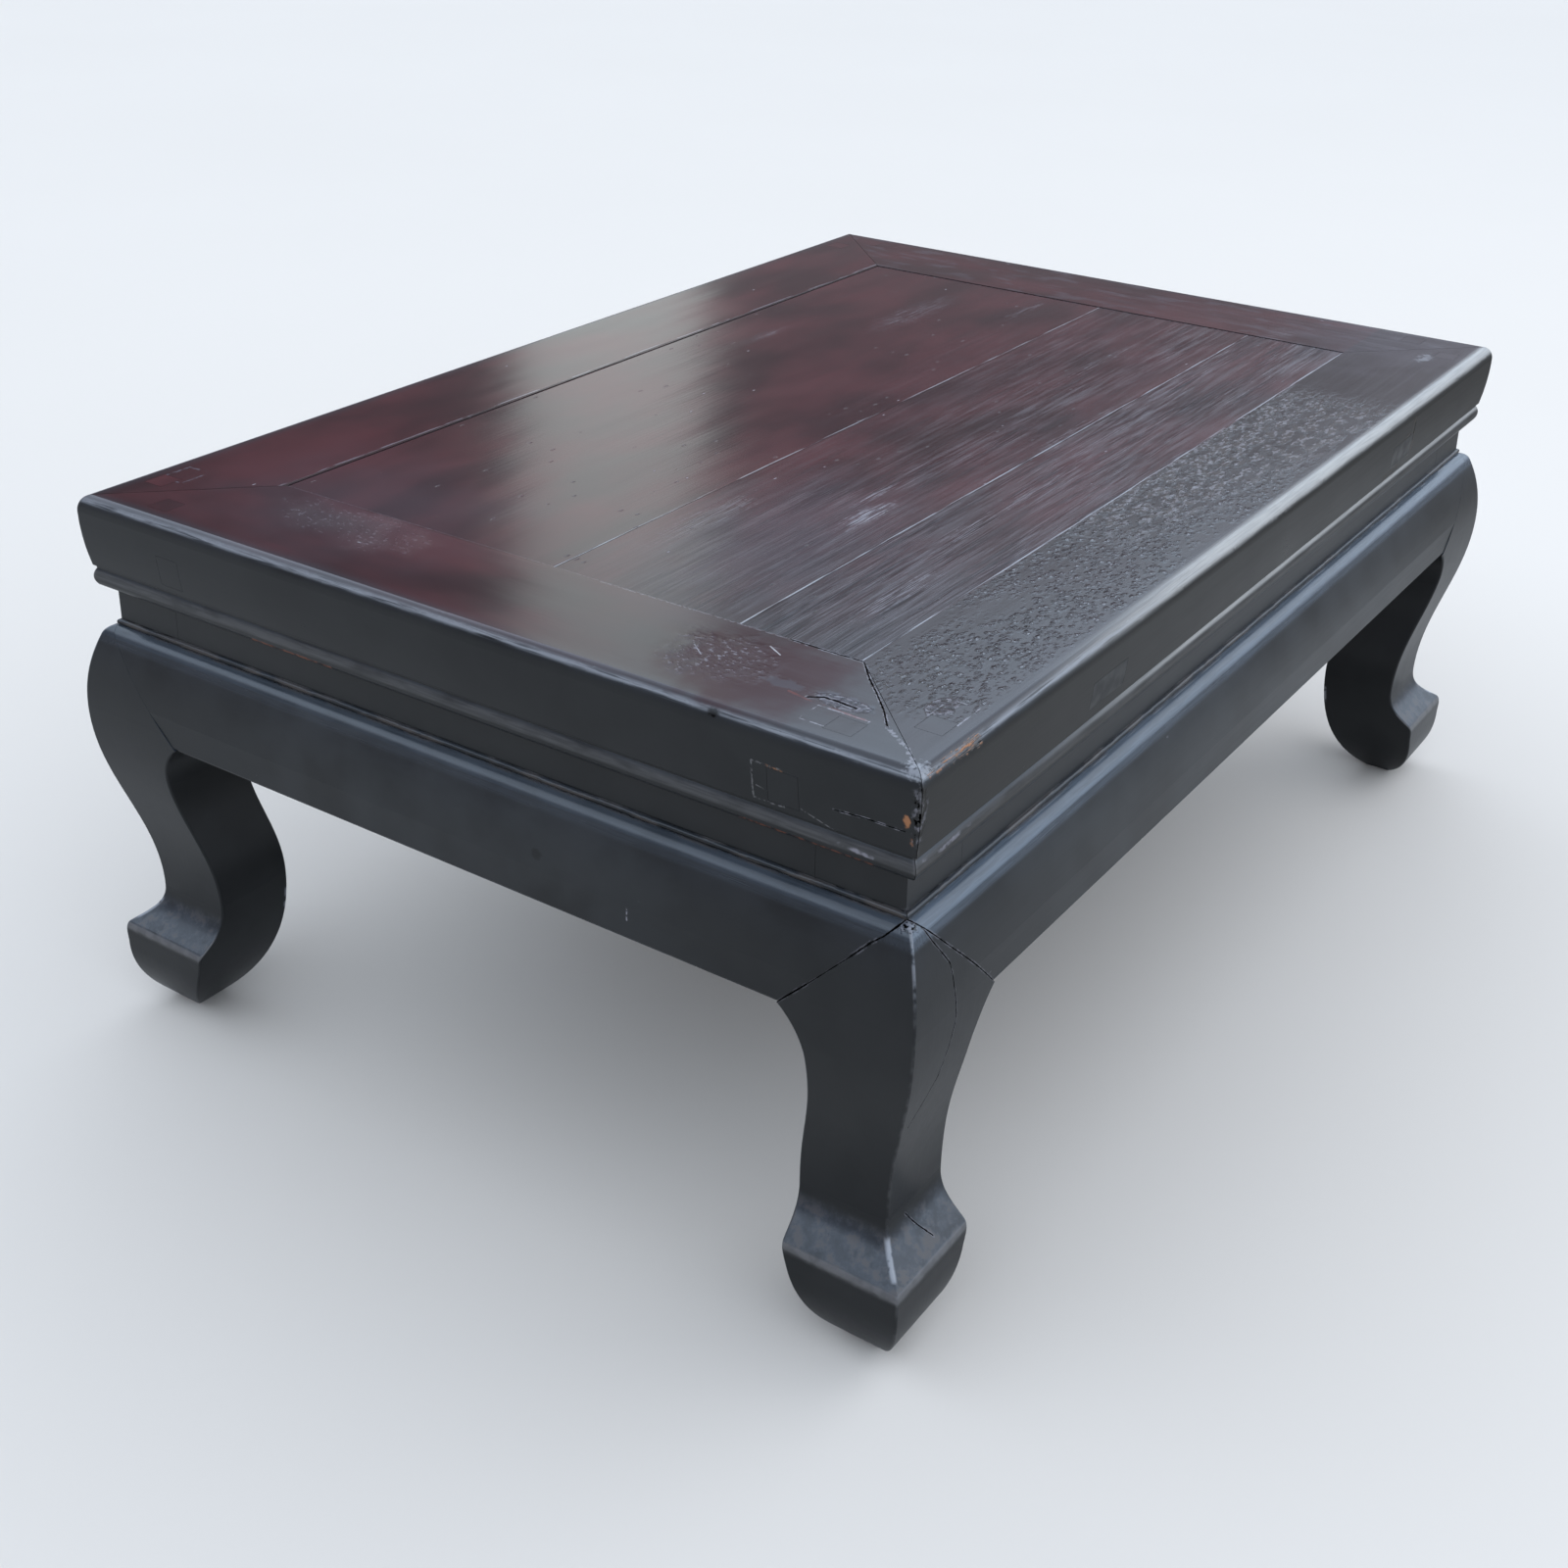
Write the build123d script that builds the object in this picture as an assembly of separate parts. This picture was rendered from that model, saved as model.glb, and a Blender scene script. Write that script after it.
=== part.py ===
"""Kang table: a low waisted table with cabriole legs and a mitred frame-and-panel top.

All sizes are in millimetres. X runs along the long side, Y along the short side and Z up.
The origin is on the floor, under the middle of the top.

Each side of the table is drawn in a side frame: X runs along the side from its middle,
Y is the depth inwards from the edge of the top, and Z is the height above the floor.
Each leg is drawn in a corner frame: X and Y are the depths inwards from the two edges
that meet at the front left corner of the top.
"""

import os
from math import sqrt

from build123d import *

# Overall size
top_length = 762.0  # long side of the top
top_width = 528.0  # short side of the top
table_height = 320.0

# Frame of the top: four mitred rails with a moulded edge
rail_width = 78.0
rail_thickness = 52.0
arris_run = 6.0  # rounded upper edge, measured across the top
arris_drop = 9.0  # rounded upper edge, measured down the side
face_lean = 3.2  # how far the side face falls back towards its foot
quirk_height = 2.0  # fine groove between the side face and the bead
quirk_depth = 1.4
bead_height = 9.5  # wide soft bead along the foot of the frame
bead_reach = 1.6

# Through tenon of each long rail, in a mortise of the end rail
rail_tenon_width = 16.0
rail_tenon_height = 17.0
rail_tenon_edge = 1.0  # from the tenon to the inner face of the rail
rail_tenon_drop = 20.0  # from the top of the table to the tenon

# Panel: three boards, tongued into the frame
panel_thickness = 16.0
panel_drop = 0.4  # the boards lie this much below the frame
front_board_width = 68.0
middle_board_width = 114.0
frame_tongue_length = 10.0
frame_tongue_thickness = 8.0
frame_tongue_drop = 6.0  # from the top of the table to the tongue
board_tongue_length = 7.0
board_tongue_thickness = 4.0
board_tongue_drop = 7.0

# Two battens under the panel, on dovetailed keys
batten_inset = 175.0  # from the end of the top to the middle of the batten
batten_width = 44.0
batten_height = 22.0
batten_tenon_width = 36.0
batten_tenon_height = 14.0
batten_tenon_drop = 20.0
key_height = 5.0
key_root_width = 22.0
key_crown_width = 27.0

# Waist, and the ledge moulding under it
waist_height = 21.5
waist_setback = 11.5  # from the edge of the top to the face of the waist
waist_thickness = 10.0
ledge_thickness = 3.0
ledge_reach = 2.0  # how far the ledge stands out from the waist
waist_tongue_thickness = 5.0
waist_tongue_inset = 2.5  # from the face of the waist to its tongue
waist_tongue_height = 4.0
waist_end_tongue_length = 6.0
waist_end_tongue_inset = 2.5  # from the upper and lower edges of the waist

# Aprons
shoulder_setback = 10.5  # from the edge of the top to the start of the shoulder's roll
shoulder_run = 7.5
shoulder_drop = 5.0
apron_depth = 55.5  # from the shoulder down to the lower edge
apron_back = 30.0  # from the edge of the top to the back of the apron
apron_edge_round = 2.0
apron_tenon_thickness = 10.0
apron_tenon_inset = 3.5  # from the face of the leg's post to the tenon
apron_tenon_length = 20.0
apron_tenon_top = 6.0  # from the top of the apron to the tenon
apron_tenon_height = 32.0

# Legs: the outer line swells at the knee, hollows at the ankle and kicks out at the foot
knee_swell = 5.5  # how far the knee stands outside the edge of the top
knee_drop = 48.0  # from the shoulder down to the fullest part of the knee
ankle_setback = 15.7
ankle_height = 76.0
kick_shelf_setback = 0.3  # where the hollow of the ankle turns over into the kick
kick_shelf_height = 53.5
kick_swell = 1.4
kick_height = 39.0
pad_setback = 17.5
pad_width = 17.0
heel_depth = 65.0  # inner line of the leg, at the heel
heel_height = 78.0
calf_depth = 52.8  # inner line of the leg, where it is slimmest
flare_height = 28.0  # from there up to the lower edge of the apron
ridge_round = 1.2

# Post of each leg, behind the aprons and up to the frame, and its two tenons
post_width = 46.5
leg_tenon_inset = 1.0  # from the face of the post to the tenon
leg_tenon_thickness = 13.5
end_tenon_start = 43.0  # tenon in the end rail, along that rail from the corner of the top
end_tenon_width = 14.0
long_tenon_start = 36.0  # tenon in the long rail, along that rail from the corner of the top
long_tenon_width = 14.0

# Clearances
mitre_gap = 0.3
panel_gap = 0.4
seam_gap = 0.3
mortise_clearance = 0.15
margin = 5.0  # how far a cutter runs past what it cuts

# Heights and depths that follow from the sizes above
frame_underside = table_height - rail_thickness
bead_top = frame_underside + bead_height
bead_back = face_lean + quirk_depth
panel_top = table_height - panel_drop
panel_underside = panel_top - panel_thickness
waist_foot = frame_underside - waist_height
shoulder_height = waist_foot - ledge_thickness  # top of the aprons and of the legs' shoulders
waist_back = waist_setback + waist_thickness
waist_tongue_front = waist_setback + waist_tongue_inset
apron_foot = shoulder_height - apron_depth
mitre_foot = shoulder_setback + apron_depth
knee_height = shoulder_height - knee_drop
calf_height = apron_foot - flare_height
post_back = waist_setback + post_width
apron_tenon_front = waist_setback + apron_tenon_inset
batten_place = top_length / 2 - batten_inset

SIDE_TURNS = {"front": 0, "right": 90, "back": 180, "left": 270}
LONG_SIDES = ("front", "back")
END_SIDES = ("left", "right")
CORNERS = ("front_left", "front_right", "back_left", "back_right")


# Helpers ------------------------------------------------------------------------------

def side_length(side):
    return top_length if side in LONG_SIDES else top_width


def at_side(part, side):
    """Carries a part from the side frame to its side of the table."""
    reach = (top_width if side in LONG_SIDES else top_length) / 2
    return Rot(0, 0, SIDE_TURNS[side]) * Pos(0, -reach, 0) * part


def at_corner(part, corner):
    """Carries a part from the corner frame to its corner of the table."""
    part = Pos(-top_length / 2, -top_width / 2, 0) * part
    if corner.startswith("back"):
        part = Rot(0, 0, 180) * part
    if corner in ("front_right", "back_left"):
        part = mirror(part, about=Plane.YZ)
    return part


def block(x_range, y_range, z_range):
    """A block between two values along each axis."""
    low, high = zip(x_range, y_range, z_range)
    size = [b - a for a, b in zip(low, high)]
    middle = [(a + b) / 2 for a, b in zip(low, high)]
    return Pos(*middle) * Box(*size)


def both_ends(x_range, y_range, z_range):
    """The same block at both ends of a side."""
    start, stop = x_range
    return [block((start, stop), y_range, z_range), block((-stop, -start), y_range, z_range)]


def bar(outline, length):
    """A bar along X with the given outline of depth and height, centred on the side."""
    return extrude(Plane.YZ * make_face(outline), amount=length / 2, both=True)


def mitred(length, depth, z_range):
    """The plan of a side piece that meets its neighbours at 45 degrees, as a solid."""
    outer = length / 2 + margin - mitre_gap / sqrt(2)
    inner = length / 2 - depth - mitre_gap / sqrt(2)
    corners = [(-outer, -margin), (outer, -margin), (inner, depth), (-inner, depth)]
    low, high = z_range
    return extrude(Pos(0, 0, low) * make_face(Polyline(corners, close=True)), amount=high - low)


# Top: frame, panel and battens --------------------------------------------------------

def frame_edge_line():
    """Moulded edge of the frame, from the top face down to the underside."""
    arris_centre = (arris_run, table_height - arris_drop)
    arris = EllipticalCenterArc(arris_centre, arris_run, arris_drop, start_angle=90)
    face_foot = (face_lean, bead_top + quirk_height)
    face = TangentArc((0, table_height - arris_drop), face_foot, tangent=(0, -1))
    quirk = EllipticalCenterArc((face_lean, bead_top), quirk_depth, quirk_height, start_angle=0)
    nose = (bead_back - bead_reach, frame_underside + bead_height / 2)
    bead = ThreePointArc((bead_back, frame_underside), nose, (bead_back, bead_top))
    return [arris, face, quirk, bead]


def moulded_slab():
    """The whole top as one slab with its moulded edge, which trims what shows on it."""
    slab = None
    for side in SIDE_TURNS:
        depth = top_length + top_width
        rest = Polyline(
            (bead_back, frame_underside),
            (depth, frame_underside),
            (depth, table_height),
            (arris_run, table_height),
        )
        edge = bar(frame_edge_line() + rest.edges(), top_length + top_width)
        slab = at_side(edge, side) if slab is None else slab & at_side(edge, side)
    return slab


def rail_tenon_ranges(clearance):
    """Depth and height of the through tenon at each end of a long rail."""
    inner = rail_width - rail_tenon_edge
    high = table_height - rail_tenon_drop
    depths = (inner - rail_tenon_width - clearance, inner + clearance)
    heights = (high - rail_tenon_height - clearance, high + clearance)
    return depths, heights


def leg_tenons(clearance, top):
    """The two tenons of a leg, in the corner frame."""
    front = waist_setback + leg_tenon_inset - clearance
    back = waist_setback + leg_tenon_inset + leg_tenon_thickness + clearance
    heights = (frame_underside - margin, top)
    end_span = (end_tenon_start - clearance, end_tenon_start + end_tenon_width + clearance)
    long_span = (long_tenon_start - clearance, long_tenon_start + long_tenon_width + clearance)
    return [block((front, back), end_span, heights), block(long_span, (front, back), heights)]


def batten_tenons(clearance):
    """The through tenons of both battens, running right across the table."""
    high = table_height - batten_tenon_drop + clearance
    low = high - batten_tenon_height - 2 * clearance
    half = batten_tenon_width / 2 + clearance
    reach = top_width / 2
    tenons = []
    for middle in (-batten_place, batten_place):
        tenons.append(block((middle - half, middle + half), (-reach, reach), (low, high)))
    return tenons


def rail(side, slab):
    """One mitred rail of the frame, with its grooves and mortises."""
    length = side_length(side)
    depths, heights = rail_tenon_ranges(0)
    shape = slab & at_side(mitred(length, rail_width, (frame_underside, table_height)), side)
    if side in LONG_SIDES:
        root = length / 2 - rail_width - margin
        for tenon in both_ends((root, length / 2), depths, heights):
            shape += slab & at_side(tenon, side)
    else:
        depths, heights = rail_tenon_ranges(mortise_clearance)
        span = (length / 2 - depths[1], length / 2 - depths[0])
        for mortise in both_ends(span, (-margin, rail_width + margin), heights):
            shape -= at_side(mortise, side)
    for corner in CORNERS:
        for tenon in leg_tenons(mortise_clearance, table_height + margin):
            shape -= at_corner(tenon, corner)
    if side in LONG_SIDES:
        for tenon in batten_tenons(mortise_clearance):
            shape -= tenon
    shape -= at_side(panel_groove(length), side)
    shape -= at_side(waist_groove(length), side)
    return shape


def panel_groove(length):
    """Groove for the tongue of the panel, in the inner face of a rail."""
    high = table_height - frame_tongue_drop + mortise_clearance
    low = high - frame_tongue_thickness - 2 * mortise_clearance
    bottom = rail_width - frame_tongue_length - panel_gap
    reach = length / 2 - bottom
    return block((-reach, reach), (bottom, rail_width + margin), (low, high))


def waist_groove(length):
    """Groove for the upper tongue of the waist, in the underside of a rail."""
    reach = length / 2 - post_back
    front = waist_tongue_front - mortise_clearance
    back = waist_tongue_front + waist_tongue_thickness + mortise_clearance
    high = frame_underside + waist_tongue_height + mortise_clearance
    return block((-reach, reach), (front, back), (frame_underside - margin, high))


def dovetail_key(middle, clearance):
    """The dovetailed key on the top of a batten, running across the whole panel."""
    root = key_root_width / 2 + clearance
    crown = key_crown_width / 2 + clearance
    low = panel_underside
    high = panel_underside + key_height + clearance
    corners = [(-root, low), (root, low), (crown, high), (-crown, high)]
    reach = top_width / 2 - rail_width - panel_gap
    outline = Plane.XZ * make_face(Polyline(corners, close=True))
    return Pos(middle, 0, 0) * extrude(outline, amount=reach, both=True)


def batten(middle, slab):
    """A batten with its dovetailed key and a through tenon at each end."""
    half = batten_width / 2
    reach = top_width / 2 - rail_width - mitre_gap
    spans = (middle - half, middle + half)
    low = panel_underside - batten_height
    shape = block(spans, (-reach, reach), (low, panel_underside))
    shape += dovetail_key(middle, 0)
    for tenon in batten_tenons(0):
        if abs(tenon.center().X - middle) < half:
            shape += slab & tenon
    return shape


def panel_board(front, back, front_joint, back_joint):
    """A board between two depths from the front edge of the top.

    Each joint is "frame" for a tongue in the frame, "tongue" for a tongue in the next
    board or "groove" for the groove that takes such a tongue.
    """
    inner_x = top_length / 2 - rail_width
    origin = -top_width / 2
    gaps = {"frame": panel_gap, "tongue": seam_gap / 2, "groove": seam_gap / 2}
    near = origin + front + gaps[front_joint]
    far = origin + back - gaps[back_joint]
    ends = (panel_gap - inner_x, inner_x - panel_gap)
    board = block(ends, (near, far), (panel_underside, panel_top))

    tongue_x = inner_x + frame_tongue_length
    tongue_near = origin + front - frame_tongue_length if front_joint == "frame" else near
    tongue_far = origin + back + frame_tongue_length if back_joint == "frame" else far
    high = table_height - frame_tongue_drop
    heights = (high - frame_tongue_thickness, high)
    board += block((-tongue_x, tongue_x), (tongue_near, tongue_far), heights)

    high = table_height - board_tongue_drop
    low = high - board_tongue_thickness
    if back_joint == "tongue":
        board += block(ends, (far - margin, far + board_tongue_length), (low, high))
    if front_joint == "groove":
        groove_far = near + board_tongue_length + mortise_clearance
        groove_z = (low - mortise_clearance, high + mortise_clearance)
        groove_x = (-tongue_x - margin, tongue_x + margin)
        board -= block(groove_x, (near - margin, groove_far), groove_z)
    for middle in (-batten_place, batten_place):
        board -= dovetail_key(middle, mortise_clearance)
    return board


# Waist, ledge and aprons --------------------------------------------------------------

def post_notches(length):
    """What the leg's posts take out of a side piece, at both ends of its side."""
    face = waist_setback - mortise_clearance
    inner = length / 2 - post_back - mortise_clearance
    heights = (apron_foot - margin, frame_underside)
    return both_ends((inner, length / 2 + margin), (face, post_back + margin), heights)


def waist(side):
    """A waist board between two posts, tongued into the rail above and into the posts."""
    length = side_length(side)
    inner = length / 2 - post_back - mortise_clearance
    board = block((-inner, inner), (waist_setback, waist_back), (waist_foot, frame_underside))
    tongue_y = (waist_tongue_front, waist_tongue_front + waist_tongue_thickness)
    tongue_top = frame_underside + waist_tongue_height
    board += block((-inner, inner), tongue_y, (frame_underside, tongue_top))
    heights = (waist_foot + waist_end_tongue_inset, frame_underside - waist_end_tongue_inset)
    end = inner + waist_end_tongue_length
    for tongue in both_ends((inner - margin, end), tongue_y, heights):
        board += tongue
    return at_side(board, side)


def ledge(side):
    """The thin moulding with a rounded nose between the waist and the apron."""
    length = side_length(side)
    front = waist_setback - ledge_reach
    nose_start = front + ledge_thickness / 2
    middle = shoulder_height + ledge_thickness / 2
    nose = ThreePointArc((nose_start, waist_foot), (front, middle), (nose_start, shoulder_height))
    rest = Polyline(
        (nose_start, shoulder_height),
        (waist_back, shoulder_height),
        (waist_back, waist_foot),
        (nose_start, waist_foot),
    )
    strip = bar([nose] + rest.edges(), length)
    strip &= mitred(length, waist_back, (shoulder_height, waist_foot))
    for notch in post_notches(length):
        strip -= notch
    return at_side(strip, side)


def shoulder_lines():
    """Rolled shoulder and swelling face, from the shoulder down to the knee."""
    start = (shoulder_setback, shoulder_height)
    turn = (shoulder_setback - shoulder_run, shoulder_height - shoulder_drop)
    roll = TangentArc(start, turn, tangent=(-1, 0))
    knee = (-knee_swell, knee_height)
    swell = Spline(turn, knee, tangents=[roll % 1, (0, -1)])
    return [roll, swell]


def apron_outline():
    """Section of an apron, with its lower edge slightly rounded."""
    knee = (-knee_swell, knee_height)
    edge_start = (-knee_swell, apron_foot + apron_edge_round)
    edge_end = (apron_edge_round - knee_swell, apron_foot)
    edge = RadiusArc(edge_start, edge_end, apron_edge_round)
    rest = Polyline(
        edge_end,
        (apron_back, apron_foot),
        (apron_back, shoulder_height),
        (shoulder_setback, shoulder_height),
    )
    return shoulder_lines() + [Line(knee, edge_start), edge] + rest.edges()


def apron(side):
    """An apron whose mitred ends lap over the legs and are tenoned into their posts."""
    length = side_length(side)
    board = bar(apron_outline(), length)
    top_half = length / 2 - shoulder_setback - mitre_gap / sqrt(2)
    foot_half = top_half - apron_depth
    corners = [
        (-foot_half, apron_foot),
        (foot_half, apron_foot),
        (top_half, shoulder_height),
        (-top_half, shoulder_height),
    ]
    face = Plane.XZ * make_face(Polyline(corners, close=True))
    board &= extrude(face, amount=apron_back + margin, both=True)
    board &= mitred(length, apron_back, (apron_foot, shoulder_height))
    for notch in post_notches(length):
        board -= notch
    depths = (apron_tenon_front, apron_tenon_front + apron_tenon_thickness)
    high = shoulder_height - apron_tenon_top
    root = length / 2 - post_back - margin
    span = (root, length / 2 - post_back + apron_tenon_length)
    for tenon in both_ends(span, depths, (high - apron_tenon_height, high)):
        board += tenon
    return at_side(board, side)


# Legs ---------------------------------------------------------------------------------

def leg_outline():
    """Outline of a leg seen square on, with the 45 degree shoulder at its head."""
    knee = (-knee_swell, knee_height)
    ankle = (ankle_setback, ankle_height)
    shelf = (kick_shelf_setback, kick_shelf_height)
    kick = (-kick_swell, kick_height)
    pad_outer = (pad_setback, 0)
    pad_inner = (pad_setback + pad_width, 0)
    heel = (heel_depth, heel_height)
    calf = (calf_depth, calf_height)
    mitre_end = (mitre_foot, apron_foot)
    outer = shoulder_lines() + [
        Spline(knee, ankle, tangents=[(0, -1), (0, -1)]),
        Spline(ankle, shelf, tangents=[(0, -1), (-0.78, -0.62)]),
        Spline(shelf, kick, tangents=[(-0.78, -0.62), (0, -1)]),
        Spline(kick, pad_outer, tangents=[(0, -1), (0.8, -0.6)]),
    ]
    inner = [
        Spline(pad_inner, heel, tangents=[(0.8, 0.6), (0, 1)]),
        Spline(heel, calf, tangents=[(0, 1), (0, 1)]),
        TangentArc(calf, mitre_end, tangent=(0, 1)),
        Line(mitre_end, (shoulder_setback, shoulder_height)),
    ]
    return outer + [Line(pad_outer, pad_inner)] + inner


def leg_body():
    """The carved leg: the same outline cut from both faces of a square post."""
    outline = make_face(leg_outline())
    outside = -knee_swell - margin
    reach = mitre_foot + heel_depth - outside
    seen_from_front = Pos(0, outside, 0) * extrude(Plane.XZ * outline, amount=-reach)
    seen_from_end = Pos(outside, 0, 0) * extrude(Plane.YZ * outline, amount=reach)
    carved = seen_from_front & seen_from_end
    return fillet(leg_ridges(carved), ridge_round)


def leg_ridges(carved):
    """The upright edges of the carved leg, apart from those of its mitred shoulder."""
    ridges = []
    for edge in carved.edges():
        middle = edge.center()
        rise = abs((edge @ 1).Z - (edge @ 0).Z)
        on_outer_ridge = abs(middle.X - middle.Y) < ridge_round and middle.X < ankle_setback
        if rise > ridge_round and (on_outer_ridge or middle.Z < apron_foot):
            ridges.append(edge)
    return ridges


def leg(corner):
    """A leg with its shoulders, its post behind the aprons and its two tenons."""
    shape = leg_body()
    span = (waist_setback, post_back)
    shape += block(span, span, (apron_foot, frame_underside))
    for tenon in leg_tenons(0, table_height):
        shape += tenon
    for mortise in post_mortises():
        shape -= mortise
    return at_corner(shape, corner)


def post_mortises():
    """Mortises in a post for the tenons of two aprons and the tongues of two waists."""
    apron_depths = (
        apron_tenon_front - mortise_clearance,
        apron_tenon_front + apron_tenon_thickness + mortise_clearance,
    )
    apron_run = (post_back - apron_tenon_length - mortise_clearance, post_back + margin)
    high = shoulder_height - apron_tenon_top + mortise_clearance
    apron_z = (high - apron_tenon_height - 2 * mortise_clearance, high)
    waist_depths = (
        waist_tongue_front - mortise_clearance,
        waist_tongue_front + waist_tongue_thickness + mortise_clearance,
    )
    waist_run = (post_back - waist_end_tongue_length - mortise_clearance, post_back + margin)
    waist_z = (
        waist_foot + waist_end_tongue_inset - mortise_clearance,
        frame_underside - waist_end_tongue_inset + mortise_clearance,
    )
    return [
        block(apron_depths, apron_run, apron_z),
        block(apron_run, apron_depths, apron_z),
        block(waist_depths, waist_run, waist_z),
        block(waist_run, waist_depths, waist_z),
    ]


# The whole table ----------------------------------------------------------------------

def table():
    """Every piece of the table, by its name."""
    slab = moulded_slab()
    pieces = {}
    for side in SIDE_TURNS:
        pieces[f"rail_{side}"] = rail(side, slab)
        pieces[f"waist_{side}"] = waist(side)
        pieces[f"ledge_{side}"] = ledge(side)
        pieces[f"apron_{side}"] = apron(side)
    for corner in CORNERS:
        pieces[f"leg_{corner}"] = leg(corner)

    first_seam = rail_width + front_board_width
    second_seam = first_seam + middle_board_width
    far_edge = top_width - rail_width
    pieces["board_front"] = panel_board(rail_width, first_seam, "frame", "tongue")
    pieces["board_middle"] = panel_board(first_seam, second_seam, "groove", "tongue")
    pieces["board_back"] = panel_board(second_seam, far_edge, "groove", "frame")
    pieces["batten_left"] = batten(-batten_place, slab)
    pieces["batten_right"] = batten(batten_place, slab)
    return pieces


os.makedirs("parts", exist_ok=True)
for name, piece in table().items():
    piece.label = name
    export_step(piece, f"parts/{name}.step")
    print(name, len(piece.solids()), "solid", round(piece.volume / 1000, 1), "cm3")
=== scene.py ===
# %% [markdown]
# # A lacquered kang table
#
# A kang table is a low table for the heated brick platform of a northern Chinese house. This one is
# old: black lacquer on the legs and aprons, a dark maroon top that has been wiped, scratched and
# leaned on for generations. The joinery comes finished from the CAD model, in metres, standing on the
# floor with its middle over the origin. What is left for Blender is the surface: lacquer over grain,
# rubbed edges, open joints, chips and cracks.

# %% Load the joinery
import math

import bpy
from mathutils import Matrix, Vector


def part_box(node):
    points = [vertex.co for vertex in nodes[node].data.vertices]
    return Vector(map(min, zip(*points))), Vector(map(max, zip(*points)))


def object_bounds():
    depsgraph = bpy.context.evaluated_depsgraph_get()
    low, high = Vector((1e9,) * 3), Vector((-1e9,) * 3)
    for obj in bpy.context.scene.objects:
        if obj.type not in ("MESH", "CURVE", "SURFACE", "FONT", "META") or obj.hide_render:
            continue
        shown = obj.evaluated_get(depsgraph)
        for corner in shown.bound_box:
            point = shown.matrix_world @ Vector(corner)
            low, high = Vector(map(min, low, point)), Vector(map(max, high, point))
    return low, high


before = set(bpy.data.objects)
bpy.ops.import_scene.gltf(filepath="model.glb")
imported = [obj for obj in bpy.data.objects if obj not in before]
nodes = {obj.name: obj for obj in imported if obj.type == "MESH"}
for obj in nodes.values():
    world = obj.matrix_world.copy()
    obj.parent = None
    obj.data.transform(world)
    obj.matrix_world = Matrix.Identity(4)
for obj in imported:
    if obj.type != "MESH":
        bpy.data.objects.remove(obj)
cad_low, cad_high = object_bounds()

print("joinery:", len(nodes), "pieces,", [round(v, 4) for v in cad_high - cad_low], "m")

# %% [markdown]
# ## Landmarks
#
# Every mark on the table is placed from the joinery itself: the height of the top, the edges of the
# frame, the lines where panel and rails meet. They could be typed in again, but reading most of them
# from the pieces keeps the marks beside the joints they belong to.

# %% Landmarks on the table
MM = 0.001
top_height = cad_high.z
frame_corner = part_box("rail_front")[0]
half_length = -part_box("rail_left")[0].x
half_width = -frame_corner.y
frame_foot = frame_corner.z
bead_top = frame_foot + 9.5 * MM
rail_width = 78 * MM
inner_x = half_length - rail_width
inner_y = half_width - rail_width
ledge_low, ledge_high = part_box("ledge_front")
shoulder = ledge_low.z
kick_lip = 53 * MM
print("top at", round(top_height, 4), "frame foot at", round(frame_foot, 4), "inner edge at",
      round(inner_x, 4), round(inner_y, 4), "shoulder at", round(shoulder, 4))

# %% [markdown]
# ## Shader arithmetic
#
# A procedural finish is a long sum of masks: grain times wear plus dust. Wiring each Math node by
# hand hides the idea, so one class wraps a socket and lets Python's own operators add the nodes.
# Numbers alone stay in Python. Vectors take Vector Math, because a Math node would keep only one of
# their three parts, and colours are only ever blended, through Mix.


# %% A socket that adds, multiplies and compares
class Wire:
    """One output socket, with ordinary arithmetic."""

    def __init__(self, tree, socket):
        self.tree = tree
        self.socket = socket

    def _work(self, operation, first, second=None):
        kind = "VectorMath" if self.socket.type == "VECTOR" else "Math"
        inputs = {0: first} if second is None else {0: first, 1: second}
        return self.tree.node(kind, {"operation": operation}, inputs)

    def __add__(self, other):
        return self._work("ADD", self, other)

    def __radd__(self, other):
        return self._work("ADD", other, self)

    def __sub__(self, other):
        return self._work("SUBTRACT", self, other)

    def __rsub__(self, other):
        return self._work("SUBTRACT", other, self)

    def __mul__(self, other):
        return self._work("MULTIPLY", self, other)

    def __rmul__(self, other):
        return self._work("MULTIPLY", other, self)

    def __truediv__(self, other):
        return self._work("DIVIDE", self, other)

    def __abs__(self):
        return self._work("ABSOLUTE", self)

    def lesser(self, other):
        return self._work("MINIMUM", self, other)

    def greater(self, other):
        return self._work("MAXIMUM", self, other)


print("a wire can:", [name.strip("_") for name in vars(Wire) if callable(getattr(Wire, name))])

# %% [markdown]
# ## One method for every other node
#
# A finish and the dome of light are both trees of nodes. One method adds a node: its kind, then its
# settings, which come first because some of them change the sockets, then what goes into each socket,
# a number or a wire. Three short names follow for what every finish needs: one part of a vector, a
# smooth ramp between two limits, and one colour laid over another.

# %% A tree of nodes
MIX_FACTOR, MIX_UNDER, MIX_OVER, MIX_RESULT = 0, 6, 7, 2


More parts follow.
